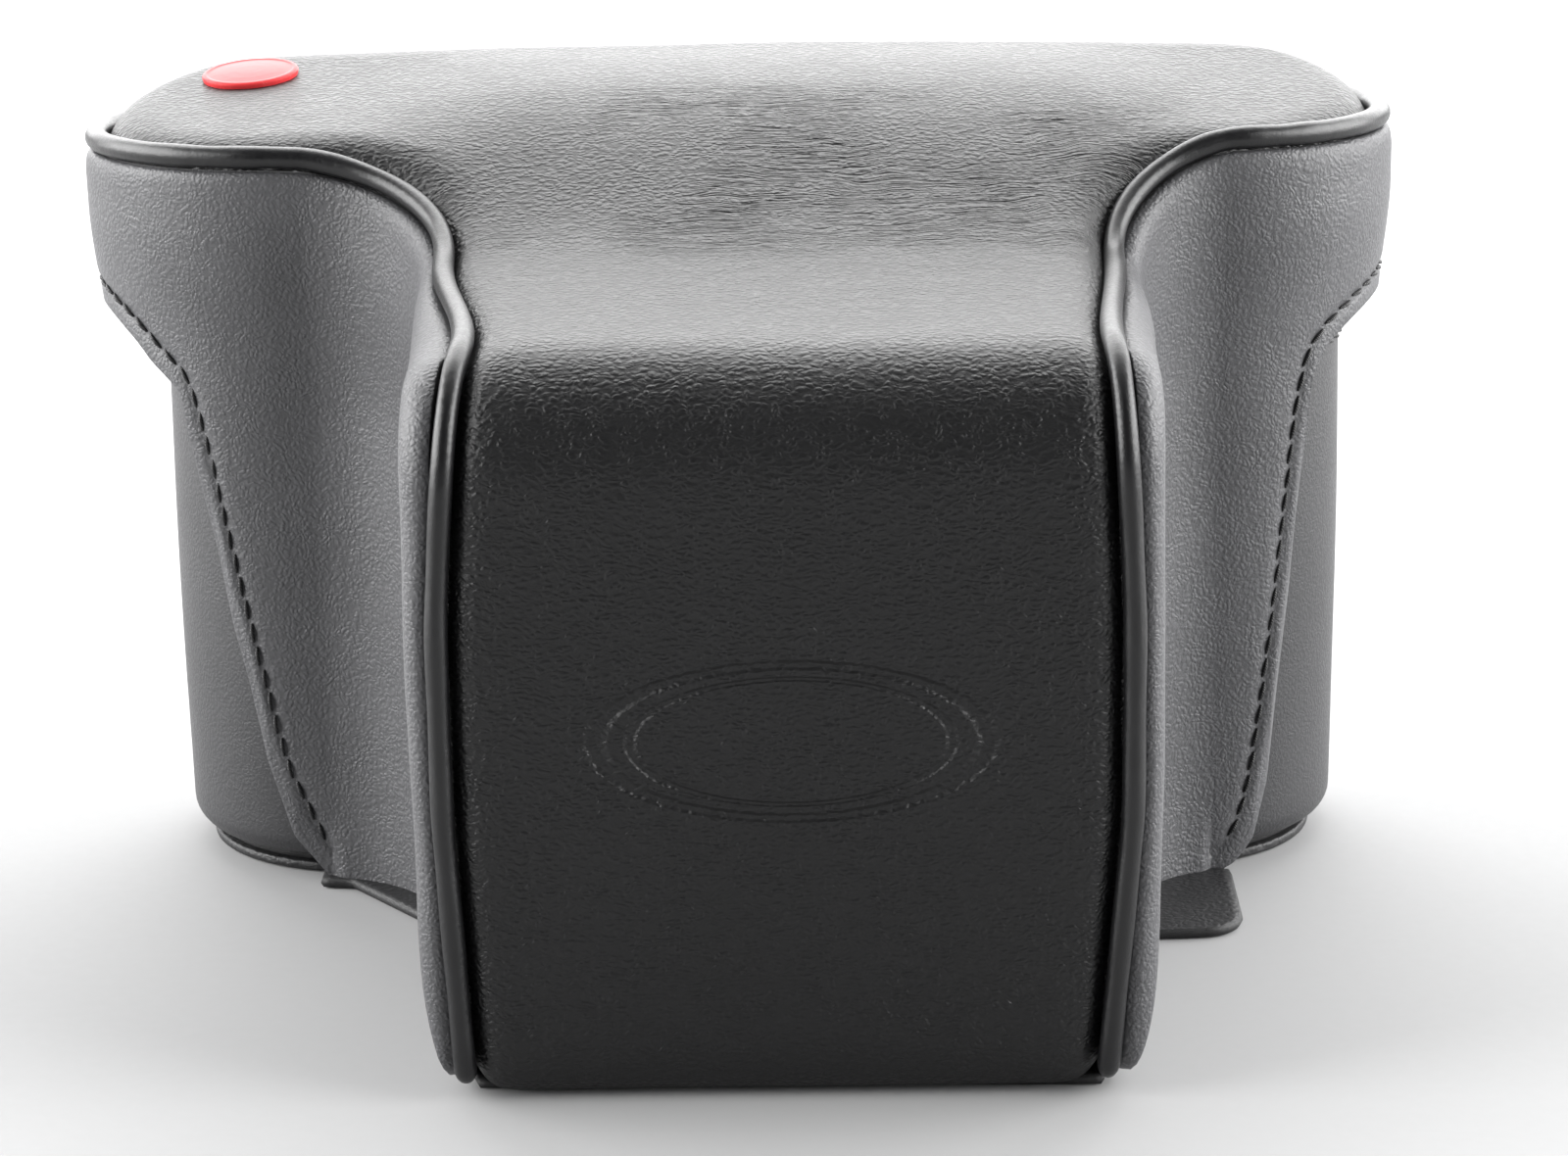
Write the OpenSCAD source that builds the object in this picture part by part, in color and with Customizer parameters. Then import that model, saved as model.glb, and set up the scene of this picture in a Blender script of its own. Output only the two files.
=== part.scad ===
// Ever-ready case for a rangefinder camera: a half case that the camera screws into, and a
// cover with a lens nose that folds forward on a leather hinge. Millimetres, +Z up,
// +X to the right and -Y to the front. The origin is the middle of the half case's base.

/* [Half case] */
// Outer width of the half case
case_w = 147; // [145:0.5:148]
// Outer depth of the half case
case_d = 44.5; // [44:0.1:44.8]
// Height of its end and front walls
case_h = 73; // [70:1:73]
// Height that its rim slopes down to at the rear
rim_rear_h = 68; // [64:1:68]
// Height of its rear wall, below the viewfinder
rear_wall_h = 50; // [47:1:51]
// Width of the low stretch of the rear wall
rear_notch_w = 116; // [114:1:120]
// Radius of the lens cut-out in the front wall
lens_r = 36; // [30:1:37]
// Height of the lens axis
lens_z = 47; // [44:1:50]
// Radius of the rolled lower edge
roll_r = 3; // [2:0.5:4]

/* [Cover] */
// Width of the cover across its shoulders
cover_w = 159.5; // [158:0.5:162]
// Depth of the cover without its nose
cover_d = 50.5; // [50.3:0.1:51]
// Height of the cover at the crown
cover_h = 98; // [96:0.5:100]
// Radius of the crown across the width
dome_r = 520; // [480:10:600]
// Radius of the rear top edge
rear_r = 8; // [7:0.5:8]
// Height of the shoulders' lower edge
shoulder_z = 71; // [71:1:74]

/* [Nose] */
// Width of the lens nose
nose_w = 81; // [78:1:84]
// Distance from the case's middle to the nose's front
nose_reach = 91.5; // [86:0.5:96]
// Sideways offset of the lens
nose_x = 5; // [4:0.5:6]
// Height of the nose's top at its front
nose_h = 82.5; // [81:0.5:83]
// Radius of its top front edge
brow_r = 12; // [10:0.5:13]
// Radius of its bottom front edge
chin_r = 5; // [4:0.5:6]
// Radius of its upright corners
nose_corner_r = 6; // [5:0.5:7]
// Radius of the hollow where it meets the body
root_r = 16; // [14:0.5:17]
// Slope of its top, in degrees
nose_slope = 3.5; // [3:0.5:5]

/* [Leather] */
// Thickness of the outer leather
leather_t = 1.2; // [1.1:0.05:1.2]
// Thickness of the stiffening board
board_t = 0.6; // [0.5:0.05:0.6]
// Thickness of the lining
lining_t = 0.6; // [0.4:0.05:0.6]
// Radius of the piping
piping_r = 1.2; // [1:0.1:1.2]
// Half-width of the front panel between its pipings
piping_x = 37.2; // [36:0.1:37.5]
// Radius of the sewing thread
thread_r = 0.28; // [0.2:0.02:0.3]
// Length of one stitch and its gap
stitch_pitch = 3; // [2.6:0.1:3.6]

/* [Closing flap] */
// Width of the rear flap
flap_w = 109; // [100:1:109]
// Height of its lower edge
flap_z = 34; // [32:1:34]
// Radius of its lower corners
flap_corner_r = 12; // [8:1:16]
// Half the distance between the press studs
snap_x = 38; // [30:1:40]
// Height of the press studs
snap_z = 43; // [42:0.5:44]

/* [Hinges] */
// Place of the cover's hinge, from front to back
hinge_y = -23.6; // [-23.7:0.05:-23.5]
// Height of the flap's fold
fold_z = 88; // [87:0.5:88]

/* [Camera screw] */
// Place of the screw along the base
screw_x = -51; // [-52:0.5:-50]
// Radius of the screw's knob
knob_r = 9; // [8:0.25:9]
// Radius of the camera thread
thread_stub_r = 3.175; // [3.125:0.025:3.2]
// Radius of the tripod socket
socket_r = 2.55; // [2.5:0.05:2.6]

/* [Badge] */
// Place of the badge from left to right
badge_x = -63; // [-64:1:-50]
// Place of the badge from front to back
badge_y = 8; // [-4:1:8]
// Radius of the badge
badge_r = 6; // [5:0.5:7]

/* [Hidden] */
$fn = 96;
far = 200;
below = 10;
shave = 0.05;
layer_gap = 0.1;
sewn_gap = 0.15;
fold_gap = 0.3;
lining_short = 2;
toe_clear_z = 2.7;
brow_from = 96;
chin_from = 200;
chin_to = 220;

// Insets of the layers, from the outer face inwards
board_in = leather_t + layer_gap;
board_out = board_in + board_t;
lining_in = board_out + layer_gap;
lining_out = lining_in + lining_t;

// Base and floor, from the ground up
base_inset = 2.5;
welt_inset = 3.4;
welt_z = leather_t + shave;
floor_z = 2.3;
board_z = floor_z + leather_t + layer_gap;
lining_z = board_z + board_t + layer_gap;
pad_z = lining_z + lining_t + layer_gap;
pad_top = 7.3;
pad_inset = 4;

// Openings of the half case
rim_front_y = -6;
rear_notch_r = 8;

// Middles of the round ends
case_end_x = (case_w - case_d) / 2;
cover_end_x = (cover_w - cover_d) / 2;
cover_end_r = cover_d / 2;

// Hinges
hinge_z = leather_t / 2;
hinge_gap_y = hinge_y - leather_t / 2 - fold_gap;
fold_y = cover_end_r;
fold_top = fold_z + leather_t + fold_gap;
tongue_w = 100;
tongue_rear_y = -11;
tongue_corner_r = 5;
wing_left = -52;
wing_right = 58;
wing_front = -37;
wing_r = 5;

// The crown's front, the nose's root and the brow, where its top turns down
crown_y = -10;
crown_z = cover_h - 0.7;
brow_y = -nose_reach + brow_r;
brow_z = nose_h - brow_r;
break_y = -44;
break_z = brow_z + brow_r / cos(nose_slope) + (break_y - brow_y) * tan(nose_slope);
brow_end_y = brow_y - brow_r * sin(nose_slope);
seam_half = piping_r + sewn_gap;

// Cheek edges: distance from the middle at each height, left and right
edge_left = [[0, 55.5], [16, 61], [34, 65], [62, 69.5], [66, 73], [shoulder_z, 79]];
edge_right = [[0, 60.5], [12, 64.3], [37, 66.9], [62, 69], [67, 72], [shoulder_z, 78]];
edge_inset = 2.4;
inner_edge = 1.5;
rear_slot_x = flap_w / 2 + 0.5;
hair = 0.02;
stitch_share = 0.62;
rim_stitch_drop = 3;
end_stitch_turn = 84;
bend_margin = 4;

// Press studs
snap_hole_r = 4.6;
snap_ring_r = 4.5;
stud_r = 1.8;
stud_base_r = 4.2;
stud_base_t = 0.5;
stud_from = 1;
stud_h = 0.5;
cap_brim_r = 5.8;
cap_r = 4.8;
cap_t = 0.4;
hinge_snap_x = 40;
hinge_snap_y = -17;
rivet_r = 1.4;

// Camera screw
shank_r = 4.2;
bush_r = 6;
bush_flange_r = 8.5;
knob_gap = 0.4;
running_gap = 0.05;
bush_top = 6.2;
shank_top = 7.2;
stub_length = 4.5;
socket_depth = 6.2;
knob_z = 0.3;
knob_t = 1.8;
scallop_r = 0.8;
scallops = 24;
ring_w = 1.5;
ring_t = 0.6;

badge_t = 0.7;

// ---- shared shapes ----

function arc(middle, r, from, to, steps = 12) =
    [for (i = [0 : steps]) let (a = from + (to - from) * i / steps) middle + r * [cos(a), sin(a)]];

module stadium(w, d) {
    square([w - d, d], center = true);
    for (side = [-1, 1]) translate([side * (w - d) / 2, 0]) circle(d = d);
}

module round_slot(w, h, r) {
    translate([-w / 2, r]) square([w, h - r]);
    translate([-w / 2 + r, 0]) square([w - 2 * r, h]);
    for (side = [-1, 1]) translate([side * (w / 2 - r), r]) circle(r = r);
}

module rod(from, to, r) {
    way = to - from;
    translate(from) rotate([0, acos(way.z / norm(way)), atan2(way.y, way.x)])
        cylinder(r = r, h = norm(way), $fn = 16);
}

// An outline in Y and Z, carried across X
module across(w) {
    rotate([90, 0, 90]) linear_extrude(w, center = true) children();
}

// An outline in X and Z, carried from y = from back to y = to
module front_to_back(from, to) {
    translate([0, to, 0]) rotate([90, 0, 0]) linear_extrude(to - from) children();
}

module screw_hole(r) {
    translate([screw_x, 0, -1]) cylinder(r = r, h = pad_top + 2);
}

// ---- half case ----

module wall_profile(reach, h) {
    translate([0, roll_r]) square([reach, h - roll_r]);
    square([reach - roll_r, h]);
    translate([reach - roll_r, roll_r]) circle(r = roll_r);
}

module rolled_block(h) {
    for (side = [-1, 1]) translate([side * case_end_x, 0, 0]) rotate_extrude() wall_profile(case_d / 2, h);
    across(2 * case_end_x) for (side = [0, 1]) mirror([side, 0]) wall_profile(case_d / 2, h);
}

module case_block(inset, bottom) {
    translate([0, 0, bottom]) linear_extrude(case_h - bottom)
        stadium(case_w - 2 * inset, case_d - 2 * inset);
}

module wall_openings() {
    front_to_back(-case_d, 0) translate([nose_x, lens_z]) {
        circle(r = lens_r);
        translate([-lens_r, 0]) square([2 * lens_r, case_h]);
    }
    front_to_back(0, case_d) translate([0, rear_wall_h]) round_slot(rear_notch_w, case_h, rear_notch_r);
    across(far) polygon([[rim_front_y, case_h], [case_d / 2, rim_rear_h], [far, rim_rear_h], [far, far],
        [rim_front_y, far]]);
}

module case_layer(inset, bottom, t) {
    difference() {
        case_block(inset, bottom);
        translate([0, 0, 1]) case_block(inset + t, bottom + t - 1);
        wall_openings();
        screw_hole(bush_r + layer_gap);
        snap_holes(rivet_r + layer_gap);
    }
}

module snap_holes(r) {
    for (side = [-1, 1]) translate([side * snap_x, 0, snap_z]) rotate([-90, 0, 0]) cylinder(r = r, h = far);
}

module half_case_shell() {
    color("#26282b") difference() {
        translate([0, 0, floor_z]) rolled_block(case_h - floor_z);
        translate([0, 0, 1]) case_block(leather_t, floor_z + leather_t - 1);
        wall_openings();
        screw_hole(bush_r + layer_gap);
        snap_holes(rivet_r + layer_gap);
    }
}

module half_case_board() {
    color("#8a7a62") case_layer(board_in, board_z, board_t);
}

module half_case_lining() {
    color("#3a3b3f") case_layer(lining_in, lining_z, lining_t);
}

module floor_pad() {
    color("#2b2c30") difference() {
        translate([0, 0, pad_z]) linear_extrude(pad_top - pad_z)
            stadium(case_w - 2 * pad_inset, case_d - 2 * pad_inset);
        screw_hole(bush_flange_r + knob_gap);
    }
}

module tongue_outline(grow) {
    translate([0, tongue_rear_y + grow]) mirror([0, 1])
        round_slot(tongue_w + 2 * grow, tongue_rear_y + grow - hinge_y, tongue_corner_r);
}

module base_panel() {
    color("#222326") difference() {
        linear_extrude(leather_t) stadium(case_w - 2 * base_inset, case_d - 2 * base_inset);
        translate([0, 0, -1]) linear_extrude(leather_t + 2) tongue_outline(fold_gap);
        screw_hole(knob_r + knob_gap);
    }
}

module base_welt() {
    color("#101112") difference() {
        translate([0, 0, welt_z]) linear_extrude(floor_z - welt_z - shave)
            stadium(case_w - 2 * welt_inset, case_d - 2 * welt_inset);
        screw_hole(knob_r + knob_gap);
        hinge_rivets(rivet_r + layer_gap, far);
    }
}

module hinge_rivets(r, h) {
    for (side = [-1, 1]) translate([side * hinge_snap_x, hinge_snap_y, -1]) cylinder(r = r, h = h + 1);
}

// The leather tongue under the base, with the round fold that the cover turns on
module hinge_tongue() {
    color("#1f2023") {
        difference() {
            linear_extrude(leather_t) tongue_outline(0);
            hinge_rivets(snap_ring_r + layer_gap, far);
        }
        translate([0, hinge_y, hinge_z]) rotate([0, 90, 0])
            cylinder(d = leather_t, h = tongue_w, center = true);
    }
}

module hinge_snaps() {
    color("#c9c9c4") for (side = [-1, 1]) translate([side * hinge_snap_x, hinge_snap_y, 0]) {
        translate([0, 0, shave]) cylinder(r = snap_ring_r, h = leather_t - 2 * shave);
        translate([0, 0, leather_t - 2 * shave]) cylinder(r = rivet_r, h = floor_z - leather_t);
    }
}

module rear_snap_studs() {
    wall = case_d / 2;
    color("#c9c9c4") for (side = [-1, 1]) translate([side * snap_x, wall, snap_z]) rotate([-90, 0, 0]) {
        translate([0, 0, hair]) cylinder(r = stud_base_r, h = stud_base_t);
        translate([0, 0, -leather_t]) cylinder(r = rivet_r, h = leather_t + stud_from + hair);
        translate([0, 0, stud_from]) cylinder(r = stud_r, h = stud_h);
    }
}

module screw_bush() {
    color("#b3904f") difference() {
        translate([screw_x, 0, 0]) {
            translate([0, 0, floor_z]) cylinder(r = bush_r, h = bush_top - floor_z);
            translate([0, 0, pad_z]) cylinder(r = bush_flange_r, h = bush_top - pad_z);
        }
        screw_hole(shank_r + running_gap);
    }
}

module half_case_stitching() {
    line_z = rim_rear_h - rim_stitch_drop;
    r = case_d / 2 + thread_r + hair;
    turn = stitch_pitch / r * 180 / PI;
    step = stitch_share * turn;
    color("#0c0c0d") for (side = [-1, 1], a = [-end_stitch_turn : turn : end_stitch_turn - turn])
        rod([side * (case_end_x + r * cos(a)), r * sin(a), line_z],
            [side * (case_end_x + r * cos(a + step)), r * sin(a + step), line_z], thread_r);
}

// ---- camera screw ----

module camera_screw() {
    color("#c4b07c") translate([screw_x, 0, 0]) difference() {
        union() {
            translate([0, 0, knob_z]) cylinder(r = knob_r, h = knob_t);
            translate([0, 0, knob_z]) cylinder(r = shank_r, h = shank_top - knob_z);
            translate([0, 0, shank_top]) cylinder(r = thread_stub_r, h = stub_length);
        }
        cylinder(r = socket_r, h = socket_depth);
        for (i = [0 : scallops - 1]) rotate(i * 360 / scallops) translate([knob_r, 0, 0])
            cylinder(r = scallop_r, h = floor_z, $fn = 24);
    }
}

module screw_ring() {
    color("#b8b8b4") translate([screw_x, 0, bush_top + sewn_gap]) difference() {
        cylinder(r = shank_r + ring_w, h = ring_t);
        translate([0, 0, -ring_t]) cylinder(r = shank_r + running_gap, h = 3 * ring_t);
    }
}

// ---- cover ----

// Middle of the hollow between the body's front and one side of the nose
function root_middle(side) =
    let (x = nose_x + side * (nose_w / 2 + root_r), past = abs(x) - cover_end_x, reach = cover_end_r + root_r)
    [x, past > 0 ? -sqrt(reach * reach - past * past) : -reach];

function side_arc(side, middle, r, from, to, steps) =
    [for (i = [0 : steps]) let (a = from + (to - from) * i / steps) middle + r * [side * cos(a), sin(a)]];

// Round one shoulder and through the hollow, from the rear to the nose
function shoulder_outline(side, inset) =
    let (c = root_middle(side), past = abs(c.x) - cover_end_x, reach = cover_end_r + root_r)
    let (turn = past > 0 ? asin(past / reach) : 0)
    concat(side_arc(side, [side * cover_end_x, 0], cover_end_r - inset, 90, turn - 90, 28),
        side_arc(side, c, root_r + inset, 90 + turn, 180, 9));

function nose_corner(side, inset) =
    side_arc(side, [nose_x + side * (nose_w / 2 - nose_corner_r), nose_corner_r - nose_reach],
        nose_corner_r - inset, 0, -90, 6);

function reversed(points) = [for (i = [len(points) - 1 : -1 : 0]) points[i]];

module cover_plan(inset) {
    polygon(concat(shoulder_outline(1, inset), nose_corner(1, inset),
        reversed(nose_corner(-1, inset)), reversed(shoulder_outline(-1, inset))));
}

// Seen from the side: crown, sloping nose, brow, front and chin; open below the body
module side_outline(inset) {
    polygon(concat(
        arc([cover_end_r - rear_r, cover_h - rear_r], rear_r - inset, 0, 90),
        [[crown_y, crown_z - inset], [break_y, break_z - inset]],
        arc([brow_y, brow_z], brow_r - inset, 90 + nose_slope, 180),
        arc([-nose_reach + chin_r, chin_r], chin_r - inset, 180, 270),
        [[hinge_gap_y, inset], [hinge_gap_y, -chin_r], [cover_end_r - inset, -chin_r]]));
}

module cover_block(inset) {
    intersection() {
        translate([0, 0, -1]) linear_extrude(cover_h + 2) cover_plan(inset);
        across(far) side_outline(inset);
        translate([0, 0, cover_h - dome_r]) rotate([90, 0, 0])
            cylinder(r = dome_r - inset, h = 2 * far, center = true, $fn = 360);
    }
}

module cover_layer(outer, inner) {
    difference() {
        cover_block(outer);
        cover_block(inner);
    }
}

module edge_waste_outline(edge, side, inset) {
    polygon(concat(
        [for (p = edge) [side * (p[1] - inset), p[0]]],
        [[side * far, shoulder_z + inset], [side * far, -below], [side * (edge[0][1] - inset), -below]]));
}

// What the cover leaves open: past its cheek edges, behind, and along its hinge
module cover_openings(inset) {
    front_to_back(-far, 0) {
        edge_waste_outline(edge_left, -1, inset);
        edge_waste_outline(edge_right, 1, inset);
    }
    front_to_back(-layer_gap, far) translate([-far / 2, -below]) square([far, below + shoulder_z + inset]);
    front_to_back(cover_end_r / 2, far) translate([-rear_slot_x, -below])
        square([2 * rear_slot_x, below + fold_top]);
    translate([-far / 2, hinge_gap_y, -below]) cube([far, far, below + toe_clear_z]);
}

module cover_side(side) {
    translate([side > 0 ? nose_x : -far, -far, -1]) cube([far + (side > 0 ? 0 : nose_x), 2 * far, far]);
}

// Half of the plan between the two seams of the nose, which draw together towards the brow
function seam_side(side, grow) =
    let (y = root_middle(side).y, wide = nose_w / 2 + grow, narrow = piping_x + grow)
    [[side * far, far], [side * far, y], [nose_x + side * wide, y], [nose_x + side * narrow, brow_end_y],
        [nose_x + side * narrow, -far]];

module seam_plan(grow) {
    polygon(concat(seam_side(1, grow), reversed(seam_side(-1, grow))));
}

// What lies under the top strip, or outside its seams
module cheek_space() {
    intersection() {
        across(far) side_outline(leather_t + sewn_gap);
        translate([0, 0, cover_h - dome_r]) rotate([90, 0, 0])
            cylinder(r = dome_r - leather_t - sewn_gap, h = 2 * far, center = true, $fn = 360);
    }
    translate([0, 0, leather_t + hair]) linear_extrude(far) difference() {
        translate([-far, -far]) square([2 * far, far]);
        seam_plan(seam_half);
    }
}

// The outer leather of one side: shoulder, front, hollow and flank of the nose
module cheek(side) {
    difference() {
        intersection() {
            cover_layer(0, leather_t);
            cover_side(side);
            cheek_space();
        }
        front_to_back(-far, -nose_reach + nose_corner_r) translate([nose_x - piping_x - seam_half, -below])
            square([2 * (piping_x + seam_half), far]);
        cover_openings(0);
    }
}

module left_cheek() {
    color("#3b3d40") cheek(-1);
}

module right_cheek() {
    color("#3b3d40") cheek(1);
}

// The strip that runs from the rear fold over the crown and down the nose's front
module top_panel() {
    color("#2c2d30") intersection() {
        cover_layer(0, leather_t);
        difference() {
            union() {
                translate([0, 0, nose_h / 2]) linear_extrude(far) intersection() {
                    cover_plan(leather_t + sewn_gap);
                    seam_plan(-seam_half);
                }
                translate([nose_x - piping_x + seam_half, -far, -1])
                    cube([2 * (piping_x - seam_half), far - nose_reach + chin_r - hair, far]);
                rear_edge_block();
            }
            cover_openings(0);
        }
    }
}

// Lets the strip take in the rear edge of the crown between the cheeks
module rear_edge_block() {
    half = cover_end_x - layer_gap;
    translate([-half, cover_end_r - rear_r, nose_h / 2]) cube([2 * half, far, far]);
}

module bottom_panel() {
    color("#232427") {
        linear_extrude(leather_t) intersection() {
            cover_plan(0);
            translate([wing_left, chin_r - nose_reach])
                square([wing_right - wing_left, nose_reach - chin_r + hinge_gap_y]);
        }
        linear_extrude(leather_t) intersection() {
            translate([(wing_left + wing_right) / 2, wing_front])
                round_slot(wing_right - wing_left, case_d, wing_r);
            translate([-far, -far]) square([2 * far, far + hinge_gap_y]);
        }
    }
}

// Height of the cover's outer face
function dome_z(x) = cover_h - dome_r + sqrt(dome_r * dome_r - x * x);
function side_z(y) =
    let (rear = y - cover_end_r + rear_r)
    rear > 0 ? cover_h - rear_r + sqrt(max(0, rear_r * rear_r - rear * rear))
        : y > break_y ? lookup(y, [[break_y, break_z], [crown_y, crown_z], [cover_end_r - rear_r, cover_h]])
        : break_z + (y - break_y) * tan(nose_slope);

// Round the shoulder, through the hollow, along the nose and down its front
function piping_path(side) =
    let (flat = shoulder_outline(side, 0), start_y = flat[len(flat) - 1].y)
    let (inboard = nose_w / 2 - piping_x)
    concat(
        [for (p = flat) [p.x, p.y, min(dome_z(p.x), side_z(p.y))]],
        [for (i = [1 : 6]) let (y = start_y + (brow_end_y - start_y) * i / 6)
            [nose_x + side * (nose_w / 2 - inboard * i / 6), y, side_z(y)]],
        [for (p = arc([brow_y, brow_z], brow_r, brow_from + nose_slope, 180, 8))
            [nose_x + side * piping_x, p.x, p.y]],
        [for (z = [brow_z / 2, chin_r]) [nose_x + side * piping_x, -nose_reach, z]],
        [for (p = arc([-nose_reach + chin_r, chin_r], chin_r, chin_from, chin_to, 2))
            [nose_x + side * piping_x, p.x, p.y]]);

// A tube swept along a path of points
module swept_tube(path, r, sides = 8) {
    last = len(path) - 1;
    off_axis = [0.36, 0.48, 0.8];
    rings = [for (i = [0 : last])
        let (way = path[min(i + 1, last)] - path[max(i - 1, 0)])
        let (u = cross(way, off_axis) / norm(cross(way, off_axis)), v = cross(way, u) / norm(way))
        for (k = [0 : sides - 1]) path[i] + r * (cos(360 * k / sides) * u + sin(360 * k / sides) * v)];
    walls = [for (i = [0 : last - 1], k = [0 : sides - 1]) let (n = (k + 1) % sides)
        [i * sides + k, i * sides + n, (i + 1) * sides + n, (i + 1) * sides + k]];
    polyhedron(rings, concat(
        [[for (k = [sides - 1 : -1 : 0]) k]], walls, [[for (k = [0 : sides - 1]) last * sides + k]]));
}

module left_piping() {
    color("#1d1e20") swept_tube(piping_path(-1), piping_r);
}

module right_piping() {
    color("#1d1e20") swept_tube(piping_path(1), piping_r);
}

module cover_board() {
    color("#8a7a62") difference() {
        cover_layer(board_in, board_out);
        cover_openings(inner_edge);
    }
}

module cover_lining() {
    color("#3a3b3f") difference() {
        cover_layer(lining_in, lining_out);
        cover_openings(inner_edge);
    }
}

// A point on the cheek's face, a little inside its edge
function seam_point(edge, side, z) =
    let (x = lookup(z, edge) - edge_inset, past = max(0, x - cover_end_x), r = cover_end_r + thread_r + hair)
    [side * x, -sqrt(r * r - past * past), z];

module cheek_stitching(edge, side) {
    for (z = [4 : stitch_pitch : shoulder_z - 2])
        rod(seam_point(edge, side, z), seam_point(edge, side, z + stitch_share * stitch_pitch), thread_r);
}

module left_stitching() {
    color("#0c0c0d") cheek_stitching(edge_left, -1);
}

module right_stitching() {
    color("#0c0c0d") cheek_stitching(edge_right, 1);
}

module on_crown(x, y) {
    translate([0, y, cover_h - dome_r]) rotate([0, asin(x / dome_r), 0])
        translate([0, 0, dome_r + shave]) children();
}

module badge() {
    color("#b3282d") on_crown(badge_x, badge_y) cylinder(r = badge_r, h = badge_t);
}

// ---- rear flap ----

module flap_outline(inset) {
    translate([0, flap_z + inset])
        round_slot(flap_w - 2 * inset, fold_z - flap_z - inset, flap_corner_r - inset);
}

// The flap's leather, rounded at the top about the line that it folds on
module rear_flap() {
    color("#2c2d30") {
        difference() {
            front_to_back(fold_y - leather_t, fold_y) flap_outline(0);
            snap_holes(rivet_r + layer_gap);
        }
        intersection() {
            translate([0, fold_y, fold_z]) rotate([0, 90, 0])
                cylinder(r = leather_t, h = flap_w, center = true);
            translate([-far / 2, fold_y - leather_t, fold_z]) cube([far, leather_t, leather_t]);
        }
    }
}

module flap_lining() {
    rear = fold_y - leather_t - layer_gap;
    color("#3a3b3f") difference() {
        front_to_back(rear - lining_t, rear) difference() {
            flap_outline(1);
            translate([-far / 2, fold_z - lining_short]) square([far, below]);
        }
        snap_holes(snap_hole_r);
    }
}

module flap_snap_caps() {
    color("#26282b") for (side = [-1, 1]) translate([side * snap_x, fold_y, snap_z]) rotate([-90, 0, 0]) {
        translate([0, 0, hair]) cylinder(r = cap_brim_r, h = stud_base_t);
        translate([0, 0, stud_base_t]) cylinder(r = cap_r, h = cap_t);
        translate([0, 0, hair - leather_t]) cylinder(r = rivet_r, h = leather_t + stud_base_t);
    }
}

module flap_snap_sockets() {
    inner = fold_y - leather_t - layer_gap;
    color("#c9c9c4") difference() {
        for (side = [-1, 1]) translate([side * snap_x, inner, snap_z]) rotate([90, 0, 0])
            cylinder(r = snap_ring_r, h = lining_t);
        snap_holes(stud_r + fold_gap);
    }
}

// A point of the stitch line round the flap's lower corner
function flap_bend(x, y, z, r, a) = [x + r * cos(a), y, z - abs(r) * sin(a)];

module flap_stitching() {
    y = fold_y + thread_r + hair;
    x = flap_w / 2 - edge_inset;
    low = flap_z + flap_corner_r;
    bend_r = flap_corner_r - edge_inset;
    turn = stitch_pitch / bend_r * 180 / PI;
    length = stitch_share * stitch_pitch;
    color("#0c0c0d") {
        for (side = [-1, 1], z = [low : stitch_pitch : fold_z - stitch_pitch])
            rod([side * x, y, z], [side * x, y, z + length], thread_r);
        for (side = [-1, 1], a = [bend_margin : turn : 90 - bend_margin - turn / 2])
            rod(flap_bend(side * (x - bend_r), y, low, side * bend_r, a),
                flap_bend(side * (x - bend_r), y, low, side * bend_r, a + stitch_share * turn), thread_r);
        for (s = [-x + bend_r : stitch_pitch : x - bend_r - 1])
            rod([s, y, flap_z + edge_inset], [s + length, y, flap_z + edge_inset], thread_r);
    }
}

half_case_shell();
half_case_board();
half_case_lining();
floor_pad();
base_panel();
base_welt();
hinge_tongue();
hinge_snaps();
rear_snap_studs();
screw_bush();
half_case_stitching();
camera_screw();
screw_ring();
top_panel();
left_cheek();
right_cheek();
bottom_panel();
left_piping();
right_piping();
cover_board();
cover_lining();
left_stitching();
right_stitching();
badge();
rear_flap();
flap_lining();
flap_snap_caps();
flap_snap_sockets();
flap_stitching();
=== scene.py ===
"""A black leather ever-ready camera case: half case, cover with a lens nose, and a rear flap.
The leather skins are grids in millimetres, built round the seam that the piping follows."""

import bpy
import math
import numpy as np
from mathutils import Matrix, Vector, kdtree, noise


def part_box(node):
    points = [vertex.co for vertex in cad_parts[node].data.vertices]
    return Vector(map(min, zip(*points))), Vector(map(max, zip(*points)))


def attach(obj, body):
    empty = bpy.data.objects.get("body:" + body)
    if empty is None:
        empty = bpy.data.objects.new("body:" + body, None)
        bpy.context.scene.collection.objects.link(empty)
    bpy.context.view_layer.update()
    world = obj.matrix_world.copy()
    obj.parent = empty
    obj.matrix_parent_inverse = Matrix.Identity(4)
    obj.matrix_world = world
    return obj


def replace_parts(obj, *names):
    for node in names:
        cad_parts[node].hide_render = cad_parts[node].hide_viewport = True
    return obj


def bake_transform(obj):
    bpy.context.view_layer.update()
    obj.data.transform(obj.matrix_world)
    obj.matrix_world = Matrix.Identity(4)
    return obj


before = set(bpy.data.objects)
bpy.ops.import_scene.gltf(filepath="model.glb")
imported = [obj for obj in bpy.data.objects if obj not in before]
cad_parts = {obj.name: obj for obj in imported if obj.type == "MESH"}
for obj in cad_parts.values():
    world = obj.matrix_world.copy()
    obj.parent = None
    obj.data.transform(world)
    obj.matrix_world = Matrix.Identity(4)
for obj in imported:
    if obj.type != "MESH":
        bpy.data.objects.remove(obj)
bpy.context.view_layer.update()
MM = 0.001

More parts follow.
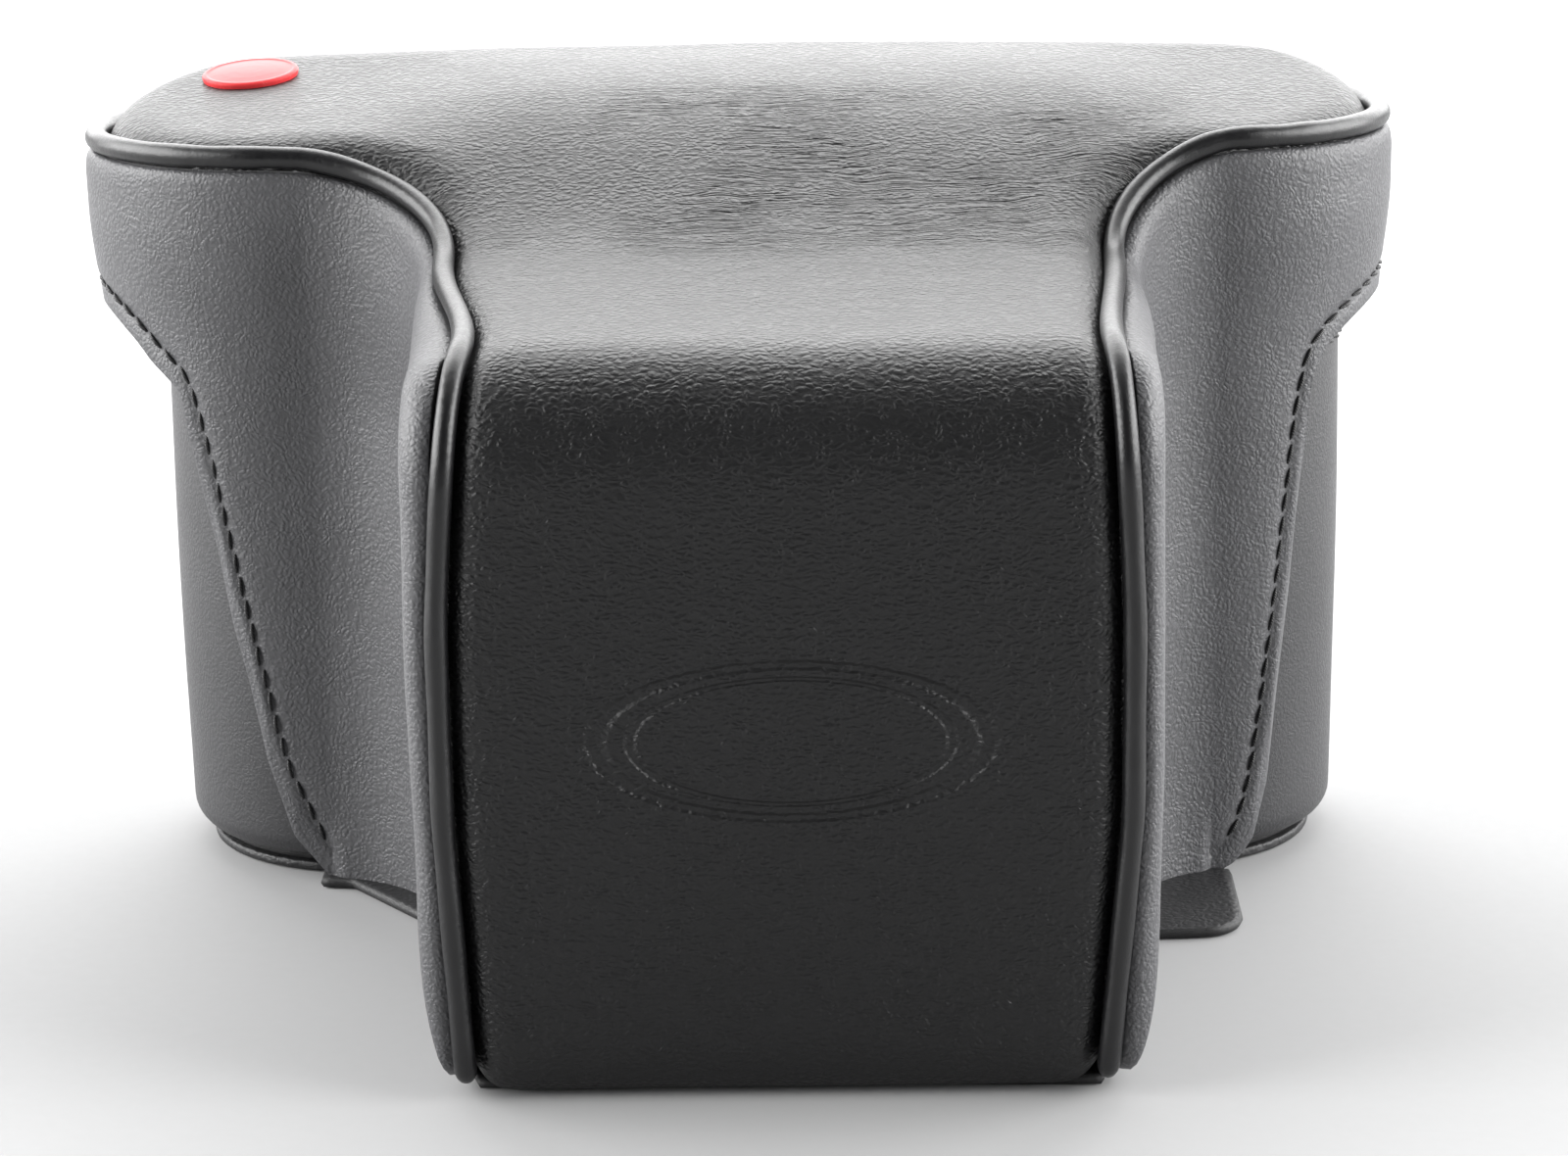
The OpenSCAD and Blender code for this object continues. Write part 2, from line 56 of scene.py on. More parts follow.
# ---- sizes, in millimetres ----
BODY_R = 25.25
LEATHER = 1.2
LINING_IN = 1.3
LINING_T = 0.5
PIPING_R = 1.35
NOSE_MID = 5.0
REAR_ROUND = 8.0
CHIN_R = 4.0
CHIN_Z = 5.2
LOW = 0.4
STRAP_UNDER = 0.02
CROWN_TOP = 98.5
CASE_R = 22.25
CASE_MID = 51.25
BASE_TURN_IN = 3.4
SCREW_X = -51.0
OVAL_MID, OVAL_HALF = (5.6, 41.5), (21.0, 8.6)
LIP_W = 4.4
STRIP_ROLL = 6.5
REAR_COLUMNS = 4
REAR_STEP = 0.4
PIPING_SHORT = 4
LIP_POWER = 2.3
SHOULDER_LOW = 71.0
FLAP_LOW = 34.0
FLAP_CORNER = 12.0
FLAP_EDGE = {-1: 54.5, 1: 54.0}
STITCH_IN = 2.5
BACK_POWER, HIGH_POWER, SIDE_POWER, TOP_POWER, FILL_POWER = 36.0, 18.0, 44.0, 2.0, 2.5
STITCH_PITCH = 3.0
THREAD_R = 0.26
# In metres, degrees and millimetres of lens
FLOOR_HALF, FLOOR_DROP = 3.0, 0.0002
CAMERA_AT, CAMERA_LENS = (0.01253, -0.52088, 0.18586), 97.26
PITCH, YAW, ROLL = 16.42, -1.0, -0.79
N_REAR, N_CORNER, N_HOLLOW, N_NOSE, N_BROW, N_FRONT, N_CHIN = 52, 60, 70, 40, 24, 120, 10

LEFT = dict(
    s=-1, a=56.26, rx=24.4, lead=0.0, hx=53.55, hy=-44.62, hr=19.37, w0=34.18, w1=29.2,
    w_mid=31.9, w_low=30.3, z_end=89.6, z_front=92.36, z_root=83.54, z_brow=81.5,
    y_front=-92.0, brow=11.95, wall=35.6, root=1.6, bulge=1.9, sink=0.3,
    edge=[(55.3, 2.4), (57.6, 6), (60.9, 16.1), (62.9, 26.1), (64.8, 33.5), (66.5, 43.3), (68, 50.6),
          (69.2, 57.8), (70, 63.2), (74.1, 66.0), (75.4, 68), (79.4, 71)],
)
RIGHT = dict(
    s=1, a=55.2, rx=22.1, lead=4.2, hx=58.24, hy=-40.72, hr=15.66, w0=42.58, w1=40.2,
    w_mid=42.1, w_low=39.4, z_end=91.0, z_front=93.5, z_root=82.4, z_brow=81.7,
    y_front=-91.5, brow=11.4, wall=45.6, root=0.4, bulge=2.3, sink=0.7,
    edge=[(58.6, 0.4), (59.8, 1.2), (62.5, 4.6), (64.3, 12.1), (65.5, 24.6), (66.9, 37), (67.8, 49.3),
          (68.4, 57.8), (68.9, 63.3), (70.7, 66.9), (74, 69.4), (77.0, 71.0)],
)
# Height of the strip along its middle, from the nose's front to the rear
CREST = [(-84, 82.6), (-70, 83.2), (-56, 84.2), (-47, 85.3), (-40, 87.0), (-32, 89.9), (-24, 93.0),
         (-16, 95.6), (-8, 97.3), (0, 98.1), (8, 98.5), (26, 98.5)]


# ---- small maths ----
def mix(a, b, t):
    return a + (b - a) * t


def ease(t):
    t = np.clip(t, 0, 1)
    return t * t * (3 - 2 * t)


def unit(v):
    return v / np.maximum(np.linalg.norm(v, axis=-1, keepdims=True), 1e-9)


def run_length(p):
    return np.r_[0, np.cumsum(np.linalg.norm(np.diff(p, axis=0), axis=1))]


def soften(p, sigma, s=None):
    """Smooths values along a line, less and less towards its two ends."""
    s = run_length(p) if s is None else s
    wide = np.clip(np.minimum(s - s[0], s[-1] - s) / 2.2, 0.02, sigma)
    share = np.exp(-0.5 * ((s[None, :] - s[:, None]) / wide[:, None]) ** 2) * np.gradient(s)[None, :]
    share /= share.sum(1, keepdims=True)
    return share @ p


def soft_table(knots, sigma=2.5):
    k = np.array(knots, float)
    x = np.linspace(k[0, 0], k[-1, 0], 400)
    return x, soften(np.interp(x, k[:, 0], k[:, 1]), sigma, x)


def roll(d, width, power=2.0):
    return 1 - (1 - np.clip(d / width, 0, 1)) ** power


def along(at, s, p):
    """The points p, known at the distances s, found at other distances."""
    return np.stack([np.interp(at, s, p[:, k]) for k in range(3)], -1)


def from_edge(n):
    """How many steps each of n places is from the nearer end."""
    return np.minimum(np.arange(n), np.arange(n)[::-1])


def lip_round(d):
    """How far a cheek has come out to its full bulge, at a distance below the seam."""
    return (1 - (1 - np.clip(d / LIP_W, 0, 1)) ** LIP_POWER) ** (1 / LIP_POWER)


def waves(p, size, seed):
    """A slow noise field, one value a point."""
    flat = p.reshape(-1, 3) / size + seed
    return np.array([noise.noise(Vector(q)) for q in flat]).reshape(p.shape[:-1])


# ---- the seam line ----
def seam(side):
    """Points of the seam, the strip's outward normal, and the cheek's outward direction."""
    lead = math.radians(side["lead"])
    turn = np.radians(np.r_[np.linspace(90, -50, N_REAR)[:-1], np.linspace(-50, -90 + side["lead"], N_CORNER)])
    height = mix(side["z_end"], side["z_front"], ease((math.pi / 2 - turn) / math.pi))
    body = np.c_[side["a"] + side["rx"] * np.cos(turn), BODY_R * np.sin(turn), height]
    body_out = np.c_[np.cos(turn), np.sin(turn), 0 * turn]
    f = lead + (math.pi / 2 - lead) * np.linspace(0, 1, N_HOLLOW + 1)[1:] ** 1.35
    share = (f - lead) / (math.pi / 2 - lead)
    fall = side["z_front"] + (side["z_root"] - side["z_front"]) * share ** 1.3
    hollow = np.c_[side["hx"] - side["hr"] * np.sin(f), side["hy"] + side["hr"] * np.cos(f), fall]
    hollow_out = np.c_[np.sin(f), -np.cos(f), 0 * f]
    brow_y = side["y_front"] + side["brow"]
    t = np.linspace(0, 1, N_NOSE + 1)[1:]
    drift = (1 - np.cos(math.pi * t)) / 2
    nose = np.c_[mix(side["w0"], side["w1"], drift), mix(side["hy"], brow_y, t), mix(side["z_root"], side["z_brow"], t)]
    b = np.radians(np.linspace(0, 90, N_BROW + 1)[1:])
    brow_z = side["z_brow"] - side["brow"]
    z_front = np.linspace(brow_z, CHIN_Z, N_FRONT + 1)[1:]
    c = np.radians(np.linspace(0, 76, N_CHIN + 1)[1:])
    down = np.r_[side["brow"] * b, side["brow"] * math.pi / 2 + brow_z - z_front,
                 side["brow"] * math.pi / 2 + brow_z - CHIN_Z + CHIN_R * c]
    width = np.interp(down, [0, 24, 34, 56, 88], [side["w1"], mix(side["w1"], side["w_mid"], 0.75), side["w_mid"],
                                                  side["w_mid"], side["w_low"]])
    n_b, n_f = len(b), len(b) + len(z_front)
    brow = np.c_[width[:n_b], brow_y - side["brow"] * np.sin(b), brow_z + side["brow"] * np.cos(b)]
    face = np.c_[width[n_b:n_f], 0 * z_front + side["y_front"], z_front]
    chin = np.c_[width[n_f:], side["y_front"] + CHIN_R * (1 - np.cos(c)), CHIN_Z - CHIN_R * np.sin(c)]
    points = soften(np.vstack([body, hollow, nose, brow, face, chin]), 2.0)
    n_low = len(nose) + len(brow) + len(face) + len(chin)
    out = np.vstack([body_out, hollow_out, np.tile([1.0, 0, 0], (n_low, 1))])
    zero = 0 * b
    up = np.vstack([np.tile([0, 0, 1.0], (len(body) + len(hollow) + len(nose), 1)),
                    np.c_[zero, -np.sin(b), np.cos(b)], np.tile([0, -1.0, 0], (len(face), 1)),
                    np.c_[0 * c, -np.cos(c), -np.sin(c)]])
    flip = np.array([side["s"], 1, 1])
    return points * flip, unit(soften(up, 1.5, run_length(points))), unit(soften(out, 1.5, run_length(points))) * flip


SEAM = {side["s"]: seam(side) for side in (LEFT, RIGHT)}
N_BODY = N_REAR - 1 + N_CORNER
N_TOP = N_BODY + N_HOLLOW
N_CHEEK = N_TOP + N_NOSE + N_BROW
N_ROWS = len(SEAM[1][0])
CREST_Y, CREST_Z = soft_table(CREST)


def seam_tree():
    """Finds the nearest point of either seam, seen from above, and its height."""
    points = []
    for s in (-1, 1):
        p = SEAM[s][0][:N_TOP + N_NOSE]
        length = run_length(p)
        fine = np.arange(0, length[-1], 0.12)
        points.append(along(fine, length, p))
    points = np.vstack(points)
    tree = kdtree.KDTree(len(points))
    for i, p in enumerate(points):
        tree.insert((p[0], p[1], 0), i)
    tree.balance()
    return tree, points[:, 2]


TREE, TREE_Z = seam_tree()


def nearest_seam(x, y):
    found = [TREE.find((a, b, 0)) for a, b in zip(np.ravel(x), np.ravel(y))]
    d = np.array([q[2] for q in found]).reshape(np.shape(x))
    z = TREE_Z[[q[1] for q in found]].reshape(np.shape(x))
    return d, z


def crown(x, y):
    """Height of the strip away from its seams."""
    off = np.abs(x - NOSE_MID)
    shoulder = ease((off - 30) / 26) * ease((y + 38) / 20)
    dome = 0.9 * (off / 60) ** 2 + 0.6 * (np.maximum(off - 57, 0) / 28) ** 2 + shoulder * 0.1 * np.maximum(15 - y, 0)
    height = mix(np.interp(y, CREST_Y, CREST_Z), CROWN_TOP, shoulder) - dome * ease((y + 70) / 40)
    past = np.clip(y - (BODY_R - REAR_ROUND), 0, REAR_ROUND)
    return height - (REAR_ROUND - np.sqrt(REAR_ROUND ** 2 - past ** 2))


def seam_dip(d):
    """How deep a skin dives beside the piping."""
    return 0.8 * (1 - roll(d, 3.6)) + 1.1 * np.exp(-(d / 1.5) ** 2)


def strip_top(x, y):
    d, z = nearest_seam(x, y)
    return z + (crown(x, y) - z) * roll(d, STRIP_ROLL, 2.2) - seam_dip(d)


# ---- meshes ----
def add_object(name, data):
    obj = bpy.data.objects.new(name, data)
    bpy.context.scene.collection.objects.link(obj)
    return obj


def add_mesh(name, verts, faces, materials, face_slots=None):
    mesh = bpy.data.meshes.new(name)
    mesh.from_pydata((verts * MM).tolist(), [], [list(f) for f in faces])
    mesh.update()
    mesh.shade_smooth()
    rest = mesh.attributes.new("rest", "FLOAT_VECTOR", "POINT")
    rest.data.foreach_set("vector", verts.astype(np.float32).ravel())
    for m in materials:
        mesh.materials.append(m)
    if face_slots is not None:
        mesh.polygons.foreach_set("material_index", np.asarray(face_slots, np.int32))
    return add_object(name, mesh)


def grid_normals(p, ring=False):
    if ring:
        wide = np.concatenate([p[-1:], p, p[:1]], 0)
        du = np.gradient(wide, axis=0)[1:-1]
    else:
        du = np.gradient(p, axis=0)
    return unit(np.cross(du, np.gradient(p, axis=1)))


def grid_faces(nu, nv, ring=False):
    i, j = np.meshgrid(np.arange(nu if ring else nu - 1), np.arange(nv - 1), indexing="ij")
    k = ((i + 1) % nu)
    return np.stack([i * nv + j, k * nv + j, k * nv + j + 1, i * nv + j + 1], -1).reshape(-1, 4)


def edge_loops(nu, nv, ring):
    """Loops of grid indices round the border, each with the index just inside it."""
    at = lambda i, j: i * nv + j
    if ring:
        return [([at(i, 0) for i in range(nu)], [at(i, 1) for i in range(nu)], True),
                ([at(i, nv - 1) for i in range(nu)], [at(i, nv - 2) for i in range(nu)], False)]
    loop = [at(i, 0) for i in range(nu)] + [at(nu - 1, j) for j in range(1, nv)]
    loop += [at(i, nv - 1) for i in range(nu - 2, -1, -1)] + [at(0, j) for j in range(nv - 2, 0, -1)]
    inner = [at(min(max(k // nv, 1), nu - 2), min(max(k % nv, 1), nv - 2)) for k in loop]
    return [(loop, inner, True)]


def shell(name, p, thick, outer, inner=None, rim=None, ring=False, flip=False, depth=0.0, swell=0.3):
    """A closed skin: an outer grid, an inner one below it, and a rounded rim between them."""
    nu, nv = p.shape[:2]
    normal = grid_normals(p, ring) * (-1 if flip else 1)
    top = (p - normal * depth).reshape(-1, 3)
    under = (p - normal * (depth + thick)).reshape(-1, 3)
    count = nu * nv
    verts = [top, under]
    skin = grid_faces(nu, nv, ring)
    turned = skin[:, ::-1]
    a, b = (turned, skin) if flip else (skin, turned)
    faces = [a, b + count]
    slots = [np.zeros(len(a), int), np.ones(len(b), int)]
    base = 2 * count
    for loop, inside, forward in edge_loops(nu, nv, ring):
        loop, inside = np.array(loop), np.array(inside)
        away = unit(top[loop] - top[inside])
        verts.append((top[loop] + under[loop]) / 2 + away * thick * swell)
        mid = base + np.arange(len(loop))
        nxt = np.roll(np.arange(len(loop)), -1)
        for u, v in ((loop, mid), (mid, loop + count)):
            quad = np.stack([u[nxt], u, v, v[nxt]], -1)
            faces.append(quad if forward != flip else quad[:, ::-1])
            slots.append(np.full(len(quad), 2))
        base += len(loop)
    mats = [outer, inner or outer, rim or outer]
    return add_mesh(name, np.vstack(verts), np.vstack(faces), mats, np.concatenate(slots))


def tube_faces(n, sides):
    i, k = np.meshgrid(np.arange(n - 1), np.arange(sides), indexing="ij")
    m = (k + 1) % sides
    i, j = i * sides, (i + 1) * sides
    return np.stack([i + k, i + m, j + m, j + k], -1).reshape(-1, 4).tolist()


def sweep(path, radius, sides=12):
    """Points and faces of a tube along a path, closed at both ends."""
    way = unit(np.gradient(path, axis=0))
    first = np.cross(way[0], [0.3, 0.5, 0.8])
    u = [first / np.linalg.norm(first)]
    for w in way[1:]:
        v = u[-1] - w * (u[-1] @ w)
        u.append(v / np.linalg.norm(v))
    u = np.array(u)
    v = np.cross(way, u)
    t = np.linspace(0, 2 * math.pi, sides, endpoint=False)
    r = np.broadcast_to(radius, len(path))[:, None, None]
    rings = path[:, None] + r * (np.cos(t)[None, :, None] * u[:, None] + np.sin(t)[None, :, None] * v[:, None])
    n = len(path)
    caps = [list(range(sides))[::-1], [(n - 1) * sides + k for k in range(sides)]]
    return rings.reshape(-1, 3), tube_faces(n, sides) + caps


def join(parts):
    verts, faces, base = [], [], 0
    for v, f in parts:
        verts.append(v)
        faces += [[base + k for k in face] for face in f]
        base += len(v)
    return np.vstack(verts), faces


def stitch_line(line, normals, pitch=STITCH_PITCH):
    """Separate stitches along a line on a skin; each one dips in at its ends."""
    s = run_length(line)
    parts = []
    t = np.linspace(0, 1, 9)
    rng = np.random.default_rng(7)
    for start in np.arange(0.6, s[-1] - pitch, pitch):
        at = start + t * pitch * 0.78
        p, n = along(at, s, line), unit(along(at, s, normals))
        across = np.cross(unit(p[-1:] - p[:1])[0], n[4])
        lift = 0.26 * np.sin(math.pi * t) - 0.12
        slant = (t - 0.5) * 0.34 + rng.normal(0, 0.05)
        fat = THREAD_R * (0.62 + 0.38 * np.sin(math.pi * t))
        parts.append(sweep(p + n * lift[:, None] + across * slant[:, None], fat, 8))
    return join(parts)


def lathe(profile, segments=64):
    """A turned shape round +Z: (radius, height) points from the outside bottom inwards over the top."""
    t = np.linspace(0, 2 * math.pi, segments, endpoint=False)
    p = np.array(profile, float)
    r, z = p[:, 0, None], p[:, 1, None]
    rings = np.stack([r * np.cos(t), r * np.sin(t), np.broadcast_to(z, (len(p), segments))], -1)
    return rings.reshape(-1, 3), tube_faces(len(p), segments)


def rounded(profile, radius=0.12, steps=3):
    """A profile with its inner corners cut round."""
    p = np.array(profile, float)
    out = [p[0]]
    for a, b, c in zip(p[:-2], p[1:-1], p[2:]):
        u, v = unit(a - b), unit(c - b)
        r = min(radius, np.linalg.norm(a - b) / 2.1, np.linalg.norm(c - b) / 2.1)
        for t in np.linspace(0, 1, steps + 1):
            out.append(b + u * r * (1 - t) ** 2 + v * r * t ** 2)
    return np.array(out + [p[-1]])


def placed(verts, origin, axis):
    z = unit(np.array(axis, float))
    x = unit(np.cross([0.0, 1.0, 0.0] if abs(z[1]) < 0.9 else [1.0, 0, 0], z))
    y = np.cross(z, x)
    return verts @ np.array([x, y, z]) + np.array(origin, float)


# ---- materials ----
class Paint:
    """Builds a node material step by step."""

    def __init__(self, name):
        self.material = bpy.data.materials.new(name)
        self.material.use_nodes = True
        self.tree = self.material.node_tree
        self.shader = self.tree.nodes["Principled BSDF"]

    def node(self, kind, inputs=None, **props):
        n = self.tree.nodes.new("ShaderNode" + kind)
        for k, v in props.items():
            setattr(n, k, v)
        for k, v in (inputs or {}).items():
            self.put(n.inputs[k], v)
        return n

    def put(self, socket, value):
        if isinstance(value, bpy.types.NodeSocket):
            self.tree.links.new(value, socket)
        else:
            socket.default_value = value

    def place(self, rest=True):
        """Position in millimetres, as it is at rest."""
        if rest:
            return self.node("Attribute", attribute_name="rest").outputs["Vector"]
        at = self.node("TexCoord").outputs["Object"]
        return self.node("VectorMath", {0: at, "Scale": 1000.0}, operation="SCALE").outputs[0]

    def stretch(self, at, scale):
        return self.node("VectorMath", {0: at, 1: scale}, operation="MULTIPLY").outputs[0]

    def shift(self, at, by):
        return self.node("VectorMath", {0: at, 1: by}, operation="ADD").outputs[0]

    def noise(self, at, scale, detail=3.0, rough=0.55, warp=0.0, out="Fac"):
        return self.node("TexNoise", {"Vector": at, "Scale": scale, "Detail": detail, "Roughness": rough,
                                                "Distortion": warp}).outputs[out]

    def cells(self, at, scale, feature="SMOOTH_F1", smooth=0.6):
        n = self.node("TexVoronoi", {"Vector": at, "Scale": scale}, feature=feature)
        if feature == "SMOOTH_F1":
            n.inputs["Smoothness"].default_value = smooth
        return n.outputs["Distance"]

    def math(self, op, a, b=0.0):
        return self.node("Math", {0: a, 1: b}, operation=op).outputs[0]

    def times(self, a, b):
        return self.math("MULTIPLY", a, b)

    def plus(self, a, b):
        return self.math("ADD", a, b)

    def apart(self, a, b):
        return self.math("ABSOLUTE", self.math("SUBTRACT", a, b))

    def span(self, value, low, high, to_low=0.0, to_high=1.0):
        return self.node("MapRange", {"Value": value, "From Min": low, "From Max": high, "To Min": to_low,
                                                "To Max": to_high}, interpolation_type="SMOOTHSTEP").outputs[0]

    def blend(self, factor, a, b):
        n = self.node("Mix", data_type="RGBA")
        self.put(n.inputs[0], factor)
        self.put(n.inputs[6], a)
        self.put(n.inputs[7], b)
        return n.outputs[2]

    def bump(self, height, distance, strength=1.0, under=None):
        n = self.node("Bump", {"Height": height, "Distance": distance * MM, "Strength": strength})
        if under is not None:
            self.put(n.inputs["Normal"], under)
        return n.outputs["Normal"]

    def split(self, at):
        return self.node("SeparateXYZ", {0: at}).outputs

    def finish(self, **sockets):
        for k, v in sockets.items():
            self.put(self.shader.inputs[k.replace("_", " ")], v)
        return self.material


def colour(r, g, b):
    return (r, g, b, 1.0)


def shade(base, by=1.0):
    return colour(*[c * by for c in base])


def mound(p, value, centre, width):
    """1 at centre, falling to 0 at width away from it."""
    return p.span(p.apart(value, centre), width * 0.25, width, 1.0, 0.0)


def leather(name, base, rough, grain=0.11, grain_size=0.85, squeeze=(1, 1, 1), creases=False, scuffs=False,
            emboss=False, level=0.5, rest=True):
    """Grained leather: pebbles split by fine valleys, pores, slow colour change and worn, polished patches."""
    p = Paint(name)
    at = p.place(rest)
    wander = p.noise(at, 0.35, 2.0, out="Color")
    bent = p.shift(at, p.stretch(wander, (1.6, 1.6, 1.6)))
    fine = p.stretch(bent, squeeze)
    pebble = p.cells(fine, 1.0 / grain_size, smooth=0.35)
    small = p.cells(fine, 2.1 / grain_size, smooth=0.5)
    valley = p.span(pebble, 0.15, 0.75)
    relief = p.plus(p.times(valley, -1.0), p.times(small, -0.45))
    pores = p.noise(at, 5.5, 2.0, 0.6)
    slow = p.noise(at, 0.045, 3.0, 0.6)
    patch = p.noise(at, 0.16, 4.0, 0.62)
    strength = p.span(patch, 0.25, 0.75, 0.6, 1.0)
    normal = p.bump(p.times(relief, strength), grain)
    normal = p.bump(pores, 0.05, 0.5, normal)
    dark = shade(base, 0.9)
    pale = shade(base, 1.12)
    tone = p.blend(p.span(slow, 0.3, 0.7), dark, pale)
    # Painted shade: the grain's valleys, the low parts of the bump, are darkened in the base colour
    tone = p.blend(p.times(valley, 0.35), tone, shade(base, 0.45))
    shine = p.span(patch, 0.3, 0.7, rough + 0.015, rough - 0.015)
    shine = p.plus(shine, p.times(valley, 0.07))
    if creases:
        x, y, z = p.split(at)
        zone = p.times(mound(p, y, -27.0, 26.0), mound(p, x, 14.0, 62.0))
        zone = p.times(zone, p.span(z, 80.0, 84.0))
        zone = p.times(zone, p.span(p.noise(at, 0.05, 2.0), 0.42, 0.68, 0.0, 0.9))
        waved = p.shift(at, p.stretch(p.noise(at, 0.07, 2.0, out="Color"), (0.0, 7.0, 0.0)))
        drawn = p.stretch(waved, (0.055, 0.75, 0.02))
        for scale, low, depth in ((1.0, 0.06, 0.5), (1.9, 0.07, 0.25)):
            ridge = p.noise(drawn, scale, 2.0, 0.5, 0.35)
            line = p.span(p.apart(ridge, 0.5), 0.0, low, 1.0, 0.0)
            line = p.times(line, zone)
            normal = p.bump(p.times(line, -1.0), depth, 0.9, normal)
            # Painted shade: each crease line is darkened in the base colour, as shade in the crease
            tone = p.blend(p.times(line, 0.6), tone, shade(base, 0.3))
    if emboss:
        x, y, z = p.split(at)
        around = oval(p, x, z)
        ring = p.span(p.apart(around, 1.0), 0.02, 0.075, 1.0, 0.0)
        inner = p.span(p.apart(around, 0.82), 0.01, 0.04, 1.0, 0.0)
        mark = p.math("MAXIMUM", ring, p.times(inner, 0.7))
        mark = p.times(mark, p.span(y, -84.0, -88.0))
        normal = p.bump(p.times(mark, -1.0), 0.34, 0.9, normal)
        shine = p.plus(shine, p.times(mark, 0.05))
    if scuffs:
        x, y, z = p.split(at)
        zone = p.times(mound(p, x, -60.0, 14.0), mound(p, z, 45.0, 24.0))
        long = p.stretch(at, (0.5, 0.5, 0.16))
        mark = p.span(p.noise(long, 1.1, 3.0, 0.7, 0.6), 0.66, 0.72)
        mark = p.times(mark, zone)
        tone = p.blend(p.times(mark, 0.75), tone, shade(base, 0.25))
        shine = p.plus(shine, p.times(mark, 0.12))
    return p.finish(Base_Color=tone, Roughness=shine, Normal=normal, Specular_IOR_Level=level)


def oval(p, x, z):
    """1 on the outline of the blank embossed oval."""
    u = p.math("DIVIDE", p.math("SUBTRACT", x, OVAL_MID[0]), OVAL_HALF[0])
    v = p.math("DIVIDE", p.math("SUBTRACT", z, OVAL_MID[1]), OVAL_HALF[1])
    return p.math("SQRT", p.plus(p.times(u, u), p.times(v, v)))


def smooth_hide(name, base, rough, rest=True):
    """Smooth skived leather with fine drag lines, specks and a slow change in polish."""
    p = Paint(name)
    at = p.place(rest)
    fine = p.noise(at, 3.2, 3.0, 0.6)
    slow = p.noise(at, 0.12, 3.0, 0.6)
    speck = p.span(p.cells(at, 0.22, "F1"), 0.0, 0.07, 1.0, 0.0)
    normal = p.bump(fine, 0.05, 0.7)
    normal = p.bump(slow, 0.6, 0.35, normal)
    tone = p.blend(p.span(slow, 0.3, 0.7), shade(base, 0.8), shade(base, 1.3))
    tone = p.blend(p.times(speck, 0.6), tone, colour(0.001, 0.001, 0.001))
    shine = p.span(fine, 0.3, 0.7, rough - 0.05, rough + 0.07)
    return p.finish(Base_Color=tone, Roughness=shine, Normal=normal, Specular_IOR_Level=0.5)


def flock(name, base, rest=True, depth=0.16):
    """Short velvety pile, brushed in slow patches."""
    p = Paint(name)
    at = p.place(rest)
    pile = p.noise(at, 3.4, 4.0, 0.7)
    brushed = p.noise(p.stretch(at, (0.6, 1.0, 0.35)), 0.12, 3.0, 0.6, 0.4)
    tone = p.blend(p.span(brushed, 0.35, 0.65), shade(base, 0.65), shade(base, 1.5))
    tone = p.blend(p.span(pile, 0.35, 0.7, 0.0, 0.5), tone, shade(base, 0.4))
    normal = p.bump(pile, depth, 0.8)
    return p.finish(Base_Color=tone, Roughness=0.95, Normal=normal, Sheen_Weight=0.5, Sheen_Roughness=0.4,
                    Specular_IOR_Level=0.2)


def cut_edge(name, base, rest=True):
    """The raw, burnished edge of the leather."""
    p = Paint(name)
    at = p.place(rest)
    fibre = p.noise(p.stretch(at, (1.0, 1.0, 2.4)), 2.2, 4.0, 0.7)
    tone = p.blend(fibre, shade(base, 0.5), shade(base, 1.7))
    return p.finish(Base_Color=tone, Roughness=p.span(fibre, 0.3, 0.7, 0.45, 0.7), Normal=p.bump(fibre, 0.12, 0.6))


def thread_paint(name, rest=True):
    """Twisted, waxed thread."""
    p = Paint(name)
    at = p.place(rest)
    twist = p.node("TexWave", {"Vector": at, "Scale": 1.5, "Distortion": 1.5, "Detail": 2.0},
                   bands_direction="DIAGONAL").outputs["Fac"]
    # Painted shade: the twist's grooves, where the bump is low, are darker in the base colour
    tone = p.blend(twist, colour(0.004, 0.004, 0.004), colour(0.02, 0.02, 0.021))
    return p.finish(Base_Color=tone, Roughness=p.span(twist, 0.0, 1.0, 0.6, 0.42), Normal=p.bump(twist, 0.08, 0.7))


def metal(name, base, rough, rest=False, turned=False, tarnish=0.35):
    """Plated or turned metal with hair scratches and dull, slightly tarnished patches."""
    p = Paint(name)
    at = p.place(rest)
    hair = p.noise(p.stretch(at, (0.4, 9.0, 0.4) if not turned else (1.0, 1.0, 14.0)), 1.6, 3.0, 0.7)
    dull = p.noise(at, 0.5, 4.0, 0.65)
    worn = p.span(dull, 0.45, 0.7)
    tone = p.blend(p.times(worn, tarnish), shade(base), shade(base, 0.42))
    shine = p.plus(p.span(hair, 0.3, 0.7, rough - 0.06, rough + 0.08), p.times(worn, 0.15))
    return p.finish(Base_Color=tone, Metallic=1.0, Roughness=shine, Normal=p.bump(hair, 0.02, 0.6))


def enamel(name):
    """Satin red, with faint swirls and a few hair scratches."""
    p = Paint(name)
    at = p.place()
    swirl = p.noise(at, 0.5, 3.0, 0.6)
    hair = p.noise(p.stretch(at, (0.5, 6.0, 1.0)), 1.8, 3.0, 0.7)
    tone = p.blend(swirl, colour(0.52, 0.028, 0.035), colour(0.66, 0.05, 0.05))
    scratch = p.span(hair, 0.62, 0.7)
    tone = p.blend(p.times(scratch, 0.2), tone, colour(0.8, 0.35, 0.33))
    return p.finish(Base_Color=tone, Roughness=p.span(scratch, 0.0, 1.0, 0.38, 0.5), Normal=p.bump(swirl, 0.05, 0.5),
                    Specular_IOR_Level=0.12)


def floor_paint():
    p = Paint("floor_paint")
    at = p.place(False)
    slow = p.noise(at, 0.004, 3.0)
    grain = p.noise(at, 0.6, 2.0)
    tone = p.blend(slow, colour(0.36, 0.36, 0.363), colour(0.39, 0.39, 0.39))
    return p.finish(Base_Color=tone, Roughness=p.span(grain, 0.2, 0.8, 0.75, 0.9), Specular_IOR_Level=0.2)
